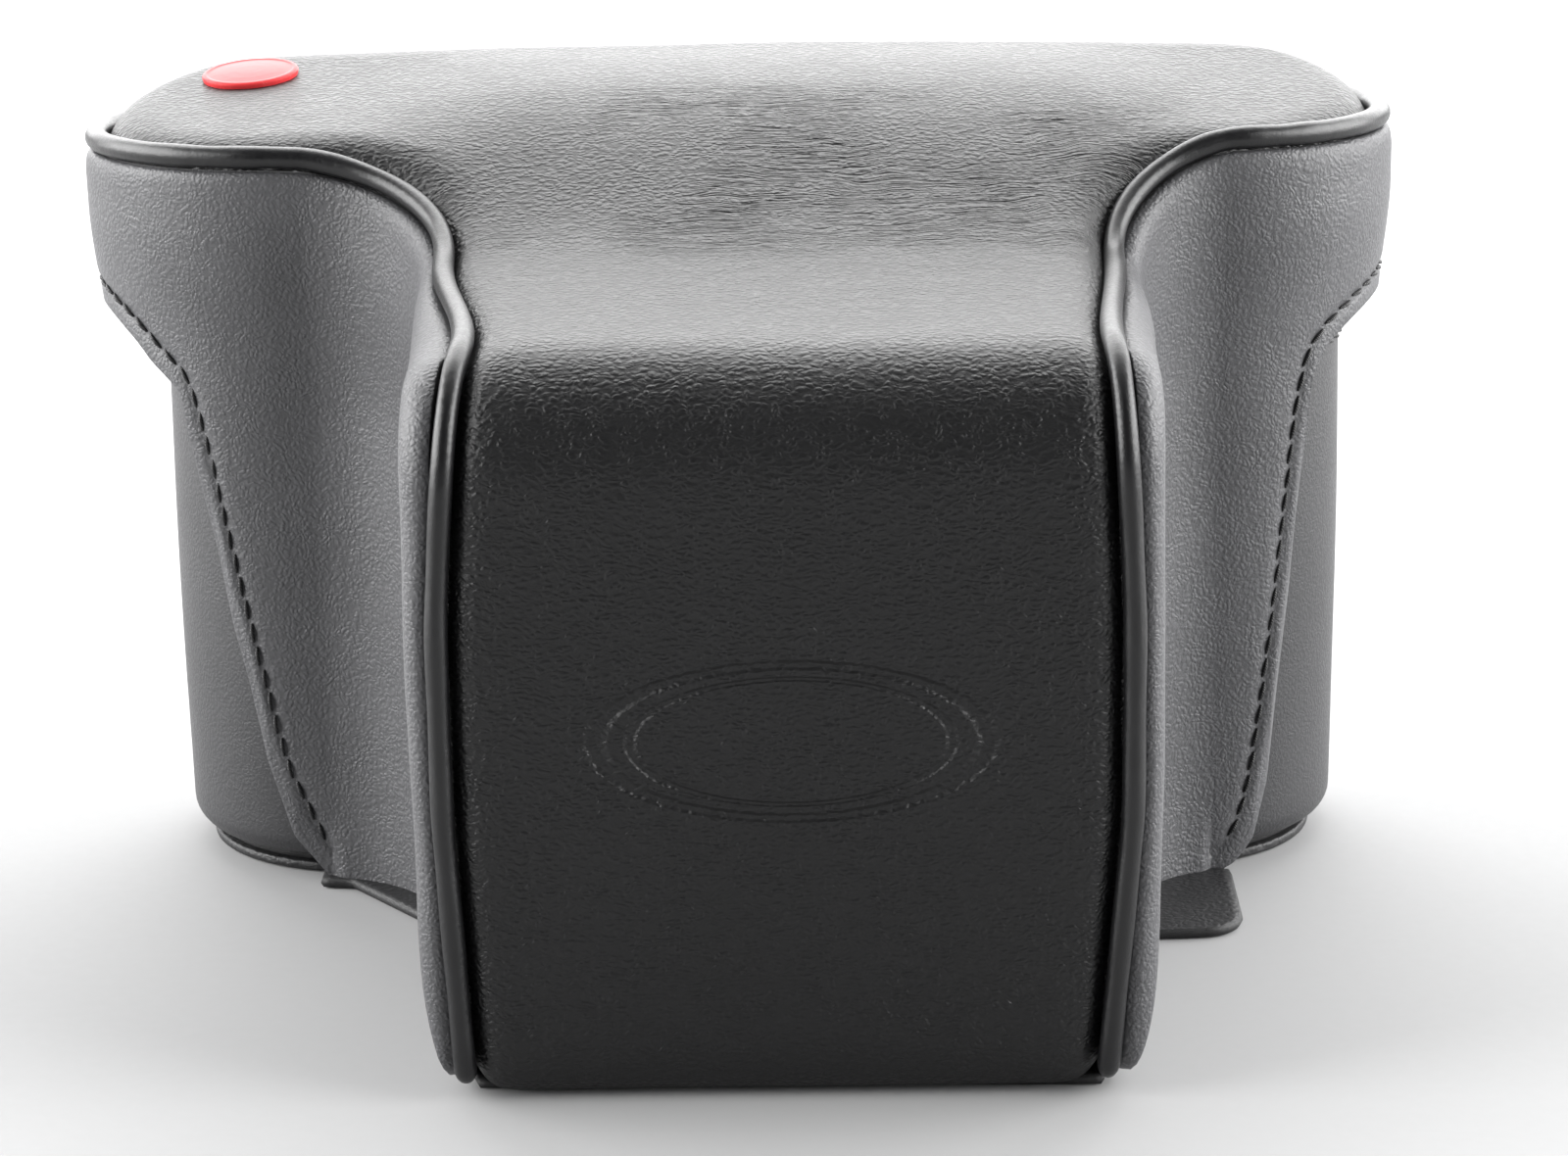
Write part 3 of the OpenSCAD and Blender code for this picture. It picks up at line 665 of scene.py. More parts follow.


# The panel's base is darkened below the leather's own black, painted shade that keeps the front dark; the cheeks' paler
# base is partly their greyer leather and partly painted light
PANEL = leather("panel_leather", (0.004, 0.004, 0.0044), 0.42, grain=0.11, grain_size=0.66, squeeze=(0.75, 1.05, 1.25),
                creases=True, emboss=True, level=0.42)
CHEEK = leather("cheek_leather", (0.078, 0.078, 0.082), 0.45, grain=0.07, grain_size=0.5, scuffs=True)
SHELL = leather("shell_leather", (0.03, 0.03, 0.032), 0.42, grain=0.03, grain_size=0.45)
BASE = leather("base_leather", (0.013, 0.013, 0.014), 0.5, grain=0.07, grain_size=0.75)
BASE_CAD = leather("base_leather_plate", (0.013, 0.013, 0.014), 0.5, grain=0.07, grain_size=0.75, rest=False)
PIPING = smooth_hide("piping_leather", (0.003, 0.003, 0.0035), 0.36)
WELT = cut_edge("welt_edge", (0.006, 0.006, 0.0065), rest=False)
EDGE = cut_edge("leather_edge", (0.009, 0.009, 0.0095))
LINING = flock("lining_flock", (0.045, 0.045, 0.05))
FELT = flock("pad_felt", (0.038, 0.038, 0.042), depth=0.3)
THREAD = thread_paint("thread")
NICKEL = metal("nickel_part", (0.70, 0.69, 0.66), 0.22, rest=True)
BRASS = metal("brass", (0.58, 0.42, 0.18), 0.3, turned=True)
SCREW = metal("screw_brass", (0.62, 0.50, 0.27), 0.3, turned=True)
STEEL = metal("ring_steel", (0.5, 0.5, 0.5), 0.35, tarnish=0.2)
LACQUER = smooth_hide("cap_lacquer", (0.012, 0.012, 0.013), 0.22)
ENAMEL = enamel("badge_enamel")


# ---- the strip: rear flap, crown, nose top, brow and front ----
def row_places(width, near=17.0, middle=64):
    """Distances across a row: close together near both seams."""
    edge = np.array([0, 0.3, 0.6, 0.95, 1.35, 1.8, 2.3, 2.9, 3.6, 4.5, 5.7, 7.2, 9.2, 11.6, 14.2])
    inside = np.linspace(near, width - near, middle)
    return np.r_[edge, inside, width - edge[::-1]]


def strip_grid():
    """Rows run from the left seam to the right one, from the flap's lower edge to the chin."""
    (pl, ul, _), (pr, ur, _) = SEAM[-1], SEAM[1]
    rows = []
    row = np.arange(N_ROWS, dtype=float)
    straight = ((pl + pr) / 2)[:, 1]
    bow = soften(straight, 14.0, row) + 0.5 * np.exp(-((row - N_BODY) / 30) ** 2)
    bow[0] = BODY_R
    bow = mix(bow, straight, ease((row - (N_TOP - 16)) / 16))
    for k in range(N_ROWS):
        a, b = pl[k], pr[k]
        d = row_places(b[0] - a[0])
        c = d / d[-1]
        near = np.minimum(d, d[-1] - d)
        p = a + (b - a) * c[:, None]
        up = unit(mix(ul[k], ur[k], 0.5)[None])[0]
        if k < N_TOP + N_NOSE:
            p[:, 1] += (bow[k] - straight[k]) * ease(near / 15)
            if k < N_TOP:
                gap, z = nearest_seam(p[:, 0], p[:, 1])
                gap[[0, -1]] = 0
            else:
                gap, z = near, np.where(c < 0.5, a[2], b[2])
            p[:, 2] = z + (crown(p[:, 0], p[:, 1]) - z) * roll(gap, STRIP_ROLL, 2.2) - seam_dip(gap)
        else:
            rise = CREST_Z[0] + 0.2 - mix(LEFT["z_brow"], RIGHT["z_brow"], c)
            front = ease((k - N_TOP - N_NOSE) / N_BROW)
            groove_more = front * (0.5 * np.exp(-(near / 2.3) ** 2))
            p += up * (rise * roll(near, STRIP_ROLL, 2.2) - seam_dip(near) - groove_more)[:, None]
        rows.append(p)
    return np.array(rows)


def flap_rows(first):
    """Rows of the flap below the fold, from its lower edge up to the strip's rear row."""
    share = (1 - np.cos(np.linspace(0, math.pi / 2, 16)))
    low = FLAP_LOW + FLAP_CORNER * share
    high = np.linspace(FLAP_LOW + FLAP_CORNER, 89.0, 60)[1:]
    rows = []
    for z in np.r_[low, high]:
        drop = max(0.0, FLAP_LOW + FLAP_CORNER - z)
        narrow = FLAP_CORNER - math.sqrt(max(0.0, FLAP_CORNER ** 2 - drop ** 2))
        a, b = -FLAP_EDGE[-1] + narrow, FLAP_EDGE[1] - narrow
        d = row_places(b - a)
        x = a + d
        near = np.minimum(d, d[-1] - d)
        puff = 0.3 * roll(near, 6) * roll(z - FLAP_LOW, 6)
        y = BODY_R + puff * (1 - ease((z - 80) / 8)) - 0.45 * groove(near, z)
        rows.append(np.c_[x, y, 0 * x + z])
    top = first.copy()
    bend = np.array(rows)[-1]
    ease_in = [mix(bend, top, t) for t in (0.35, 0.7)]
    return np.vstack([np.array(rows), np.array(ease_in)])


def groove(near, z):
    """The shallow trough that the flap's stitches lie in."""
    to_side = np.exp(-((near - STITCH_IN) / 0.7) ** 2) * (z > FLAP_LOW + STITCH_IN)
    to_low = np.exp(-((z - FLAP_LOW - STITCH_IN) / 0.7) ** 2) * (near > STITCH_IN)
    return np.maximum(to_side, to_low) * (z < 86)


def make_strip():
    body = strip_grid()
    grid = np.vstack([flap_rows(body[0]), body])
    away = waves(grid, 26.0, 3.1) * 0.16 + waves(grid, 9.0, 8.4) * 0.03
    edge = from_edge(grid.shape[1])
    grid = grid + grid_normals(grid) * (away * ease(edge / 9)[None, :])[..., None]
    leather_part = shell("strip_leather", grid, LEATHER, PANEL, LINING, EDGE)
    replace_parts(leather_part, "top_panel", "rear_flap")
    inner = grid[2:-3:2, 4:-4:2]
    lining = shell("strip_lining", inner, LINING_T, LINING, depth=LINING_IN)
    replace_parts(lining, "flap_lining", "cover_lining", "cover_board")
    for piece in (leather_part, lining):
        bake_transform(piece)


# ---- the cheeks ----
def tuck_in(y):
    """How far the nose's lower corners turn in, more towards its front."""
    return 0.6 + 4.8 * ease((-48 - y) / 30)


class Cheek:
    """One side of the cover: shoulder, front, hollow and the flank of the nose."""

    def __init__(self, side):
        self.side, s = side, side["s"]
        points, self.up, out = SEAM[s]
        self.seam = points
        self.p = points[:N_CHEEK].copy()
        self.out = out[:N_CHEEK]
        self.top = self.p[:, 2]
        index = np.arange(N_CHEEK)
        share = ease((index - N_BODY) / N_HOLLOW)
        turn = self.out[:, 1]
        front = ease(-turn)
        self.bulge = mix(side["bulge"] - 0.5 * front, side["wall"] + side["root"] - side["w0"], share)
        self.sink = mix(mix(side["sink"], -0.4, front), self.bulge, share)
        self.s = run_length(self.p[:, :2])
        self.low = self.cut_line()

    def cut_line(self):
        """Height of the cut edge at every column."""
        table = np.array(self.side["edge"], float)
        wall = self.p + self.out * mix(0.3, 1.0, 0.5)
        x = np.abs(wall[:, 0])
        z = np.where(self.out[:, 1] > 0, SHOULDER_LOW, np.interp(x, table[:, 0], table[:, 1]))
        z = np.where(np.arange(N_CHEEK) >= N_BODY - 6, np.minimum(z, np.interp(x, table[:, 0], table[:, 1])), z)
        z = np.where((x <= table[0, 0]) & (self.out[:, 1] < 0), LOW, z)
        line = np.c_[self.s, z]
        length = run_length(line)
        z = soften(line, 2.6, length)[:, 1]
        y = self.p[:, 1]
        chin = np.clip(y - self.side["y_front"], 0, CHIN_R)
        arc = CHIN_Z - np.sqrt(np.maximum(CHIN_R ** 2 - (CHIN_R - chin) ** 2, 0))
        return np.where(np.arange(N_CHEEK) > N_TOP, np.maximum(LOW, arc), z)

    def above_edge(self, d):
        """Height of the line that runs d inside the cut edge."""
        line = np.c_[self.s, self.low]
        way = unit(np.gradient(line, axis=0))
        off = line + d * np.c_[-way[:, 1], way[:, 0]] * np.where(way[:, :1] >= 0, 1, -1)
        order = np.maximum.accumulate(off[:, 0])
        keep = np.r_[True, np.diff(order) > 1e-6]
        z = np.interp(self.s, order[keep], off[keep, 1])
        z = soften(z, 1.4, self.s)
        z = np.where(np.arange(N_CHEEK) > N_TOP, self.low + d, z)
        return np.maximum(z, self.low + 0.3 * d)

    def at(self, column, z):
        """A point of the skin at a column, which may be a fraction, and a height."""
        index = np.arange(N_CHEEK)
        get = lambda v: np.interp(column, index, v)
        pick = lambda v: along(column, index, v)
        p, out, up = pick(self.p), unit(pick(self.out)), pick(self.up[:N_CHEEK])
        dz = get(self.top) - z
        fade = ease((dz - 8) / 20)
        reach = mix(get(self.bulge), get(self.sink), fade) * lip_round(dz)
        low = get(self.low)
        hug = 0.9 * (1 - ease((z - low) / 10)) * ease((62 - z) / 20) * (1 - ease((column - N_BODY) / 10))
        skin = p + out * (reach - hug)[..., None]
        skin[..., 2] = z
        skin[..., 0] -= self.side["s"] * np.clip(-column, 0, None) * REAR_STEP
        gap = np.hypot(reach, dz)
        nose = column > N_TOP - 1
        flank, contour_up, flank_gap = self.nose_point(p[..., 1], z)
        skin = np.where(nose[..., None], flank, skin)
        gap = np.where(nose, flank_gap, gap)
        up = np.where(nose[..., None], contour_up, up)
        dive = np.exp(-(gap / 1.5) ** 2)
        inward = np.where(nose[..., None], np.array([self.side["s"], 0.0, 0.0]), out)
        return skin - up * (0.5 * (1 - roll(gap, 3.2)) + 1.2 * dive)[..., None] - inward * 0.5 * dive[..., None]

    def nose_point(self, y, z):
        side, s = self.side, self.side["s"]
        brow_y, brow_z = side["y_front"] + side["brow"], side["z_brow"] - side["brow"]
        chin_y = side["y_front"] + CHIN_R
        rows = np.abs(self.seam[:, 0])
        top = slice(N_TOP - 1, N_TOP + N_NOSE)
        top_x = np.interp(-y, -self.seam[top, 1], rows[top])
        top_z = np.interp(-y, -self.seam[top, 1], self.seam[top, 2])
        face = slice(N_CHEEK, N_CHEEK + N_FRONT)
        face_x = np.interp(-z, -self.seam[face, 2], rows[face])
        turn = np.arctan2(brow_y - y, z - brow_z)
        brow_rows = rows[N_TOP + N_NOSE - 1:N_CHEEK]
        brow_x = np.interp(turn, np.linspace(0, math.pi / 2, len(brow_rows)), brow_rows)
        in_brow, in_face = (y < brow_y) & (z >= brow_z), (y < brow_y) & (z < brow_z)
        in_chin = (y < chin_y) & (z < CHIN_Z)
        d = np.where(in_brow, side["brow"] - np.hypot(y - brow_y, z - brow_z), top_z - z)
        d = np.where(in_face, y - side["y_front"], d)
        d = np.where(in_chin, CHIN_R - np.hypot(y - chin_y, z - CHIN_Z), d)
        d = np.maximum(d, 0)
        x = np.where(in_brow, brow_x, np.where(in_face | in_chin, face_x, top_x))
        wall = side["wall"] + side["root"] * ease((y + 78) / 30)
        reach = x + (wall - x) * lip_round(d)
        foot = 22.0
        tuck = wall - tuck_in(y) * (1 - np.sqrt(np.maximum(0, 1 - (np.clip(foot - z, 0, foot) / foot) ** 2)))
        soft = 0.35
        reach = -soft * np.logaddexp(-reach / soft, -tuck / soft) + soft * math.log(2) * np.exp(-np.abs(reach - tuck))
        reach = np.where(d <= 1e-6, x, reach)
        flat = np.zeros_like(y)
        up = np.stack([flat, flat, flat + 1], -1)
        round_up = np.stack([flat, -np.sin(turn), np.cos(turn)], -1)
        up = np.where(in_brow[..., None], round_up, up)
        up = np.where(in_face[..., None], np.array([0, -1.0, 0]), up)
        return np.stack([s * reach, y, z + 0 * y], -1), up, np.hypot(reach - x, d)

    def grid(self):
        near_edge = [0, 0.35, 0.8, 1.3, 1.8, 2.2, 2.6, 3.0, 3.5, 4.2, 5.2]
        rows = [self.above_edge(d) if d else self.low for d in near_edge]
        lip = LIP_W * (1 - np.cos(np.linspace(math.pi / 2, 0, 12)))
        last = self.top - LIP_W
        room = np.maximum(last - self.low, 0.1)
        fit = np.clip(room / 12, 0.02, 1)
        rows = [self.low + (r - self.low) * fit for r in rows]
        start = rows[-1]
        rows += [mix(start, np.maximum(last, start), t) for t in np.linspace(0, 1, 44)[1:-1]]
        rows += [self.top - d for d in lip]
        z = np.maximum.accumulate(np.array(rows).T, axis=1)
        column = np.arange(-REAR_COLUMNS, N_CHEEK)
        z = z[np.maximum(column, 0)]
        p = self.at(np.broadcast_to(column[:, None].astype(float), z.shape), z)
        return p, z


def make_cheek(side, name):
    cheek = Cheek(side)
    p, z = cheek.grid()
    flip = side["s"] > 0
    away = waves(p, 24.0, 5.0 + side["s"]) * 0.4 + waves(p, 8.0, 1.0) * 0.06
    quiet = ease(from_edge(p.shape[1]) / 10)[None, :] * ease(from_edge(p.shape[0]) / 10)[:, None]
    normal = grid_normals(p) * (1 if not flip else -1)
    sewn = sewn_trough(cheek, z)
    p = p + normal * (away * quiet - 0.4 * sewn)[..., None]
    piece = shell(f"{name}_leather", p, LEATHER, CHEEK, LINING, EDGE, flip=flip)
    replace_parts(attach(piece, "cover"), name)
    lining = shell(f"{name}_lining", p[1:-2:2, 3:-5:1], LINING_T, LINING, flip=flip, depth=LINING_IN)
    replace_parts(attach(lining, "cover"), "cover_lining", "cover_board")
    make_cheek_stitches(cheek, name.replace("cheek", "stitching"))


def sewn_trough(cheek, z):
    """1 on the stitch line, 0 away from it, measured over the unrolled skin."""
    last = N_BODY + 3
    line = np.c_[cheek.s, cheek.above_edge(STITCH_IN)][:last]
    length = run_length(line)
    fine = np.arange(0, length[-1], 0.4)
    line = np.c_[np.interp(fine, length, line[:, 0]), np.interp(fine, length, line[:, 1])]
    s = cheek.s[np.maximum(np.arange(-REAR_COLUMNS, N_CHEEK), 0)]
    off = np.full(z.shape, 99.0)
    for k, row in enumerate(z[:last + REAR_COLUMNS]):
        off[k] = np.hypot(s[k] - line[:, :1], row[None] - line[:, 1:]).min(0)
    return np.exp(-(off / 0.75) ** 2)


def make_cheek_stitches(cheek, node):
    column = np.linspace(0.5, N_BODY + 2, 600)
    z = np.interp(column, np.arange(N_CHEEK), cheek.above_edge(STITCH_IN))
    keep = z > 3.5
    column, z = column[keep], z[keep]
    line = cheek.at(column, z)
    out = along(column, np.arange(N_CHEEK), cheek.out)
    verts, faces = stitch_line(line - out * 0.3, unit(out))
    piece = add_mesh(f"{node}_thread", verts, faces, [THREAD])
    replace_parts(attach(piece, "cover"), node)


# ---- piping ----
def make_piping(side, name):
    p, up, out = SEAM[side["s"]]
    body = 1 - ease((np.arange(N_ROWS) - N_BODY) / N_HOLLOW)
    path = p + up * mix(0.45, 0.15, body)[:, None] + out * mix(0.1, 0.55, body)[:, None]
    fat = PIPING_R * (1 + 0.03 * np.sin(np.arange(N_ROWS) * 0.21)) * mix(0.92, 1.0, body)
    lead = path[:1] - np.array([side["s"], 0, 0]) * REAR_STEP * np.arange(REAR_COLUMNS, 0, -1)[:, None]
    path, fat = np.vstack([lead, path]), np.r_[np.full(REAR_COLUMNS, fat[0]), fat]
    fat[:4] *= [0.35, 0.75, 0.93, 1.0]
    path, fat = path[:-PIPING_SHORT], fat[:-PIPING_SHORT]
    fat[-4:] *= [1.0, 0.93, 0.75, 0.35]
    verts, faces = sweep(path, fat, 16)
    piece = add_mesh(f"{name}_cord", verts, faces, [PIPING])
    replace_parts(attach(piece, "cover"), name)


# ---- bottom panel and hinge ----
def panel_edge(side, y):
    """Half-width of the bottom panel at each y; its right wing reaches further out and forward."""
    inside = np.clip(y, side["hy"], side["hy"] + side["hr"])
    hollow = side["hx"] - np.sqrt(np.maximum(0, side["hr"] ** 2 - (inside - side["hy"]) ** 2)) + 0.6
    foot = side["wall"] - tuck_in(y) + 0.5
    nose = np.where(y > side["hy"], np.maximum(hollow, foot), foot)
    front_in = 1.8 * ease((side["y_front"] + 9 - y) / 8)
    if side is LEFT:
        wing = 52.4 - 0.81 * np.maximum(0, -23 - y)
        return np.maximum(np.minimum(wing, mix(50.0, 52.4, ease((-21.5 - y) / 3))), nose) - front_in
    wing, corner, front = 58.8, 5.0, -44.5
    reach = wing - corner + np.sqrt(np.maximum(0, corner ** 2 - np.clip(front + corner - y, 0, corner) ** 2))
    wide = np.minimum(reach, mix(50.0, wing, ease((-21.5 - y) / 3)))
    step = mix(wing - corner, nose, ease((front - y) / 0.7))
    return np.where(y > front, wide, step) - front_in


def make_bottom():
    y = np.r_[np.linspace(-11.2, -21, 14), np.linspace(-21.4, -26.5, 26), np.linspace(-27, -39, 26),
              -39.5 - 5.0 * np.sin(np.linspace(0, math.pi / 2, 14)), np.linspace(-44.6, -45.3, 8),
              np.linspace(-46, -85.5, 40), np.linspace(-86, -88.6, 8)]
    rows = []
    for v in y:
        a, b = -panel_edge(LEFT, np.array(v)), panel_edge(RIGHT, np.array(v))
        back = 5.0 - math.sqrt(max(0.0, 25.0 - max(0.0, v + 16.2) ** 2))
        a, b = a + back, b - back
        t = (1 - np.cos(np.linspace(0, math.pi, 60))) / 2
        t = mix(t, np.linspace(0, 1, 60), 0.55)
        x = mix(float(a), float(b), t)
        rows.append(np.c_[x, 0 * x + v, 0 * x + STRAP_UNDER])
    grid = np.array(rows)
    piece = shell("base_strap", grid, 1.15, BASE, BASE, EDGE, flip=grid_normals(grid)[5, 5, 2] > 0)
    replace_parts(piece, "bottom_panel", "hinge_tongue")
    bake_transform(piece)


# ---- half case ----
def loop_points(inset=0.0):
    """The half case's outline seen from above, with points close together beside its openings."""
    r, mid = CASE_R - inset, CASE_MID
    base = list(np.arange(-mid, mid, 2.0))
    front = sorted(base + [NOSE_MID + k * t for t in np.arange(32.5, 38.6, 0.35) for k in (-1, 1)] + [mid])
    rear = sorted(base + [mid])
    arc = np.radians(np.linspace(-90, 90, 48))
    extra = np.radians(np.arange(62, 90, 1.3))
    ring = [(x, -r) for x in front[:-1]]
    right = sorted(set(np.round(np.r_[arc, extra], 5)))
    ring += [(mid + r * math.cos(a), r * math.sin(a)) for a in right[:-1]]
    ring += [(x, r) for x in rear[::-1][:-1]]
    ring += [(-mid - r * math.cos(a), r * math.sin(a)) for a in right[::-1][:-1]]
    return np.array(ring)


def rim_height(x, y):
    """Height of the half case's rim: lens cut-out in front, lowered wall behind, sloping ends."""
    slope = np.interp(-y, [-CASE_R, 6], [68.0, 73.0])
    t = np.abs(x - NOSE_MID)
    cut = np.where(t < 36, 47 - np.sqrt(np.maximum(36 ** 2 - t ** 2, 0)), 47 + (t - 36) / 1.3 * 30)
    front = np.where(y < -15, np.minimum(cut, slope), slope)
    low = 50 + 18.2 * ease((np.abs(x) - 49.5) / 5.5)
    return np.where(y > 15, np.minimum(low, front), front)


def case_grid(inset, floor, drop, rolled):
    ring = loop_points(inset)
    middle = np.clip(ring[:, :1], -CASE_MID, CASE_MID) * [1, 0]
    out = unit(ring - middle)
    h = rim_height(ring[:, 0], ring[:, 1]) - drop
    h = np.maximum(h, floor + 5)
    turn = np.radians(np.linspace(0, 90, 9))
    rows = [(0 * h - BASE_TURN_IN, 0 * h + floor)]
    rows += [(0 * h - rolled * (1 - np.sin(t)), 0 * h + floor + rolled * (1 - np.cos(t))) for t in turn]
    for t in np.r_[np.linspace(0, 0.9, 26)[1:], 0.94, 0.965, 0.98, 0.992, 1]:
        z = mix(floor + rolled, h, t)
        belly = 0.25 * np.sin(math.pi * np.clip((z - 5) / 60, 0, 1))
        rows.append((belly + 0 * h, z))
    return np.stack([np.c_[ring + out * off[:, None], z] for off, z in rows], 1)


def make_half_case():
    grid = case_grid(0.0, 2.3, 0.0, 3.0)
    quiet = ease(from_edge(grid.shape[1]) / 6)
    grid = grid + grid_normals(grid, True) * (waves(grid, 30.0, 2.2) * 0.22 * quiet[None])[..., None]
    piece = shell("half_case_leather", grid, LEATHER, SHELL, SHELL, EDGE, ring=True)
    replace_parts(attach(piece, "half_case"), "half_case_shell", "half_case_board")
    inner = case_grid(1.4, 3.7, 0.8, 1.6)
    lining = shell("half_case_flock", inner, 1.1, LINING, LINING, LINING, ring=True)
    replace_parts(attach(lining, "half_case"), "half_case_lining")


def make_pad():
    """The felt pad on the floor, crowned a little and cut out round the screw."""
    ring = loop_points(4.1)
    rows = []
    for t, z in ((1.0, 5.3), (1.0, 6.2), (0.995, 6.8), (0.985, 7.15), (0.96, 7.3), (0.85, 7.35), (0.6, 7.4), (0.3, 7.4),
                 (0.02, 7.4)):
        rows.append(np.c_[ring * t, np.full(len(ring), z)])
    grid = np.stack(rows, 1)
    gap = np.linalg.norm(grid[..., :2] - np.array([SCREW_X, 0.0]), axis=-1)
    dish = (1 - ease((gap - 8.8) / 0.6)) * 1.6
    grid[..., 2] = np.maximum(grid[..., 2] - dish, 5.25)
    count = grid.shape[0] * grid.shape[1]
    faces = grid_faces(*grid.shape[:2], True).tolist()
    faces.append([i * grid.shape[1] + grid.shape[1] - 1 for i in range(grid.shape[0])])
    faces.append([i * grid.shape[1] for i in range(grid.shape[0])][::-1])
    piece = add_mesh("floor_felt", grid.reshape(count, 3), faces, [FELT])
    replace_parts(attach(piece, "half_case"), "floor_pad")


# ---- fittings ----
def cad_box(node):
    """The middle and the high corner of a CAD node, in millimetres."""
    low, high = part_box(node)
    return (low + high) / 2 / MM, high / MM


def turned_pair(name, profile, places, axis, material, body, node, segments=56):
    parts = []
    for at in places:
        verts, faces = lathe(profile, segments)
        parts.append((placed(verts, at, axis), faces))
    verts, faces = join(parts)
    piece = add_mesh(name, verts, faces, [material])
    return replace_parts(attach(piece, body), node)


def make_snaps():
    mid, high = cad_box("rear_snap_studs")
    at = lambda y: [(s * (high.x - 4.2), y, mid.z) for s in (-1, 1)]
    cap = [(0.02, 0.0), (5.7, 0.0), (5.8, 0.22), (5.35, 0.48), (4.75, 0.55), (4.6, 0.72), (4.0, 0.95), (2.6, 1.12),
           (1.2, 1.2), (0.02, 1.22)]
    turned_pair("snap_caps", rounded(cap, 0.3), at(BODY_R + 0.2), (0, 1, 0), LACQUER,
                "rear_flap", "flap_snap_caps")
    ring = [(4.5, 0.0), (4.5, 0.35), (4.1, 0.55), (3.0, 0.6), (2.6, 0.45), (2.3, 0.3), (2.25, 0.0)]
    turned_pair("snap_sockets", rounded(ring, 0.12), at(BODY_R - LINING_IN - LINING_T + 0.12), (0, -1, 0), NICKEL,
                "rear_flap", "flap_snap_sockets")
    stud = [(0.02, -1.3), (4.0, -1.3), (4.2, 0.05), (4.15, 0.35), (3.7, 0.5), (2.2, 0.55), (1.45, 0.7), (1.4, 0.95),
            (1.75, 1.15), (1.8, 1.3), (1.5, 1.48), (0.02, 1.5)]
    turned_pair("snap_studs", rounded(stud, 0.1), at(CASE_R), (0, 1, 0), NICKEL,
                "half_case", "rear_snap_studs")
    mid, high = cad_box("hinge_snaps")
    foot = [(s * (high.x - 4.5), mid.y, 1.15) for s in (-1, 1)]
    cap = [(1.4, -1.1), (1.4, 0.0), (4.4, 0.0), (4.5, 0.3), (4.2, 0.7), (3.4, 0.95), (1.6, 1.08), (0.02, 1.12)]
    turned_pair("base_snaps", rounded(cap, 0.15), foot, (0, 0, -1), NICKEL, "half_case", "hinge_snaps")


def make_badge():
    """A blank red disc that stands a little proud of the crown."""
    mid = cad_box("badge")[0]
    x, y = mid.x, mid.y
    proud = 0.3
    step = 2.0
    spot = strip_top(np.array([x, x + step, x - step, x, x]), np.array([y, y, y, y + step, y - step]))
    up = unit(np.array([-(spot[1] - spot[2]) / (2 * step), -(spot[3] - spot[4]) / (2 * step), 1.0]))
    disc = [(5.9, -0.6), (6.05, 0.05), (6.0, 0.28), (5.8, 0.42), (5.5, 0.45), (5.3, 0.36), (5.0, 0.36), (3.5, 0.5),
            (1.8, 0.58), (0.02, 0.6)]
    verts, faces = lathe(rounded(disc, 0.12), 96)
    piece = add_mesh("badge_disc", placed(verts, (x, y, spot[0] + proud), up), faces, [ENAMEL])
    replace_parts(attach(piece, "cover"), "badge")


def make_flap_stitches():
    """The stitched border of the rear flap."""
    r = FLAP_CORNER - STITCH_IN
    left, right = -FLAP_EDGE[-1] + STITCH_IN, FLAP_EDGE[1] - STITCH_IN
    low = FLAP_LOW + STITCH_IN
    turn = np.radians(np.linspace(0, 90, 16))
    line = [(left, z) for z in np.linspace(85, low + r, 30)]
    line += [(left + r - r * math.cos(a), low + r - r * math.sin(a)) for a in turn[1:]]
    line += [(x, low) for x in np.linspace(left + r, right - r, 40)[1:]]
    line += [(right - r + r * math.sin(a), low + r - r * math.cos(a)) for a in turn[1:]]
    line += [(right, z) for z in np.linspace(low + r, 85, 30)[1:]]
    line = np.array(line)
    p = np.c_[line[:, 0], np.full(len(line), BODY_R - 0.1), line[:, 1]]
    verts, faces = stitch_line(p, np.tile([0, 1.0, 0], (len(p), 1)))
    piece = add_mesh("flap_stitching_thread", verts, faces, [THREAD])
    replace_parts(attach(piece, "rear_flap"), "flap_stitching")


def make_case_stitches():
    """The row of stitches that holds the half case's lining, below the rim at its ends and front."""
    ring, z = loop_points(-0.05), cad_box("half_case_stitching")[0].z
    open_run = rim_height(ring[:, 0], ring[:, 1]) > z + 1.6
    starts = np.flatnonzero(open_run & ~np.roll(open_run, 1))
    parts = []
    for start in starts:
        run = []
        k = start
        while open_run[k % len(ring)] and len(run) < len(ring):
            run.append(ring[k % len(ring)])
            k += 1
        if len(run) > 3:
            run = np.array(run)
            out = unit(run - np.clip(run[:, :1], -CASE_MID, CASE_MID) * [1, 0])
            line = np.c_[run, np.full(len(run), z)]
            parts.append(stitch_line(line, np.c_[out, np.zeros(len(run))]))
    verts, faces = join(parts)
    piece = add_mesh("case_stitching_thread", verts, faces, [THREAD])
    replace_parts(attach(piece, "half_case"), "half_case_stitching")


def dress_cad(node, material, bevel=0.15):
    """Gives a CAD node its finish, and softens its hard edges."""
    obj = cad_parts[node]
    obj.data.materials.clear()
    obj.data.materials.append(material)
    weld = obj.modifiers.new("weld", "WELD")
    weld.merge_threshold = 0.00001
    soft = obj.modifiers.new("bevel", "BEVEL")
    soft.width = bevel * MM
    soft.segments = 2
    soft.limit_method = "ANGLE"
    soft.angle_limit = math.radians(40)
    soft.harden_normals = True


# ---- stage ----
def make_stage():
    t = FLOOR_HALF
    mesh = bpy.data.meshes.new("floor")
    mesh.from_pydata([(-t, -t, 0), (t, -t, 0), (t, t, 0), (-t, t, 0)], [], [(0, 1, 2, 3)])
    mesh.materials.append(floor_paint())
    floor = add_object("floor", mesh)
    floor.location.z = -FLOOR_DROP


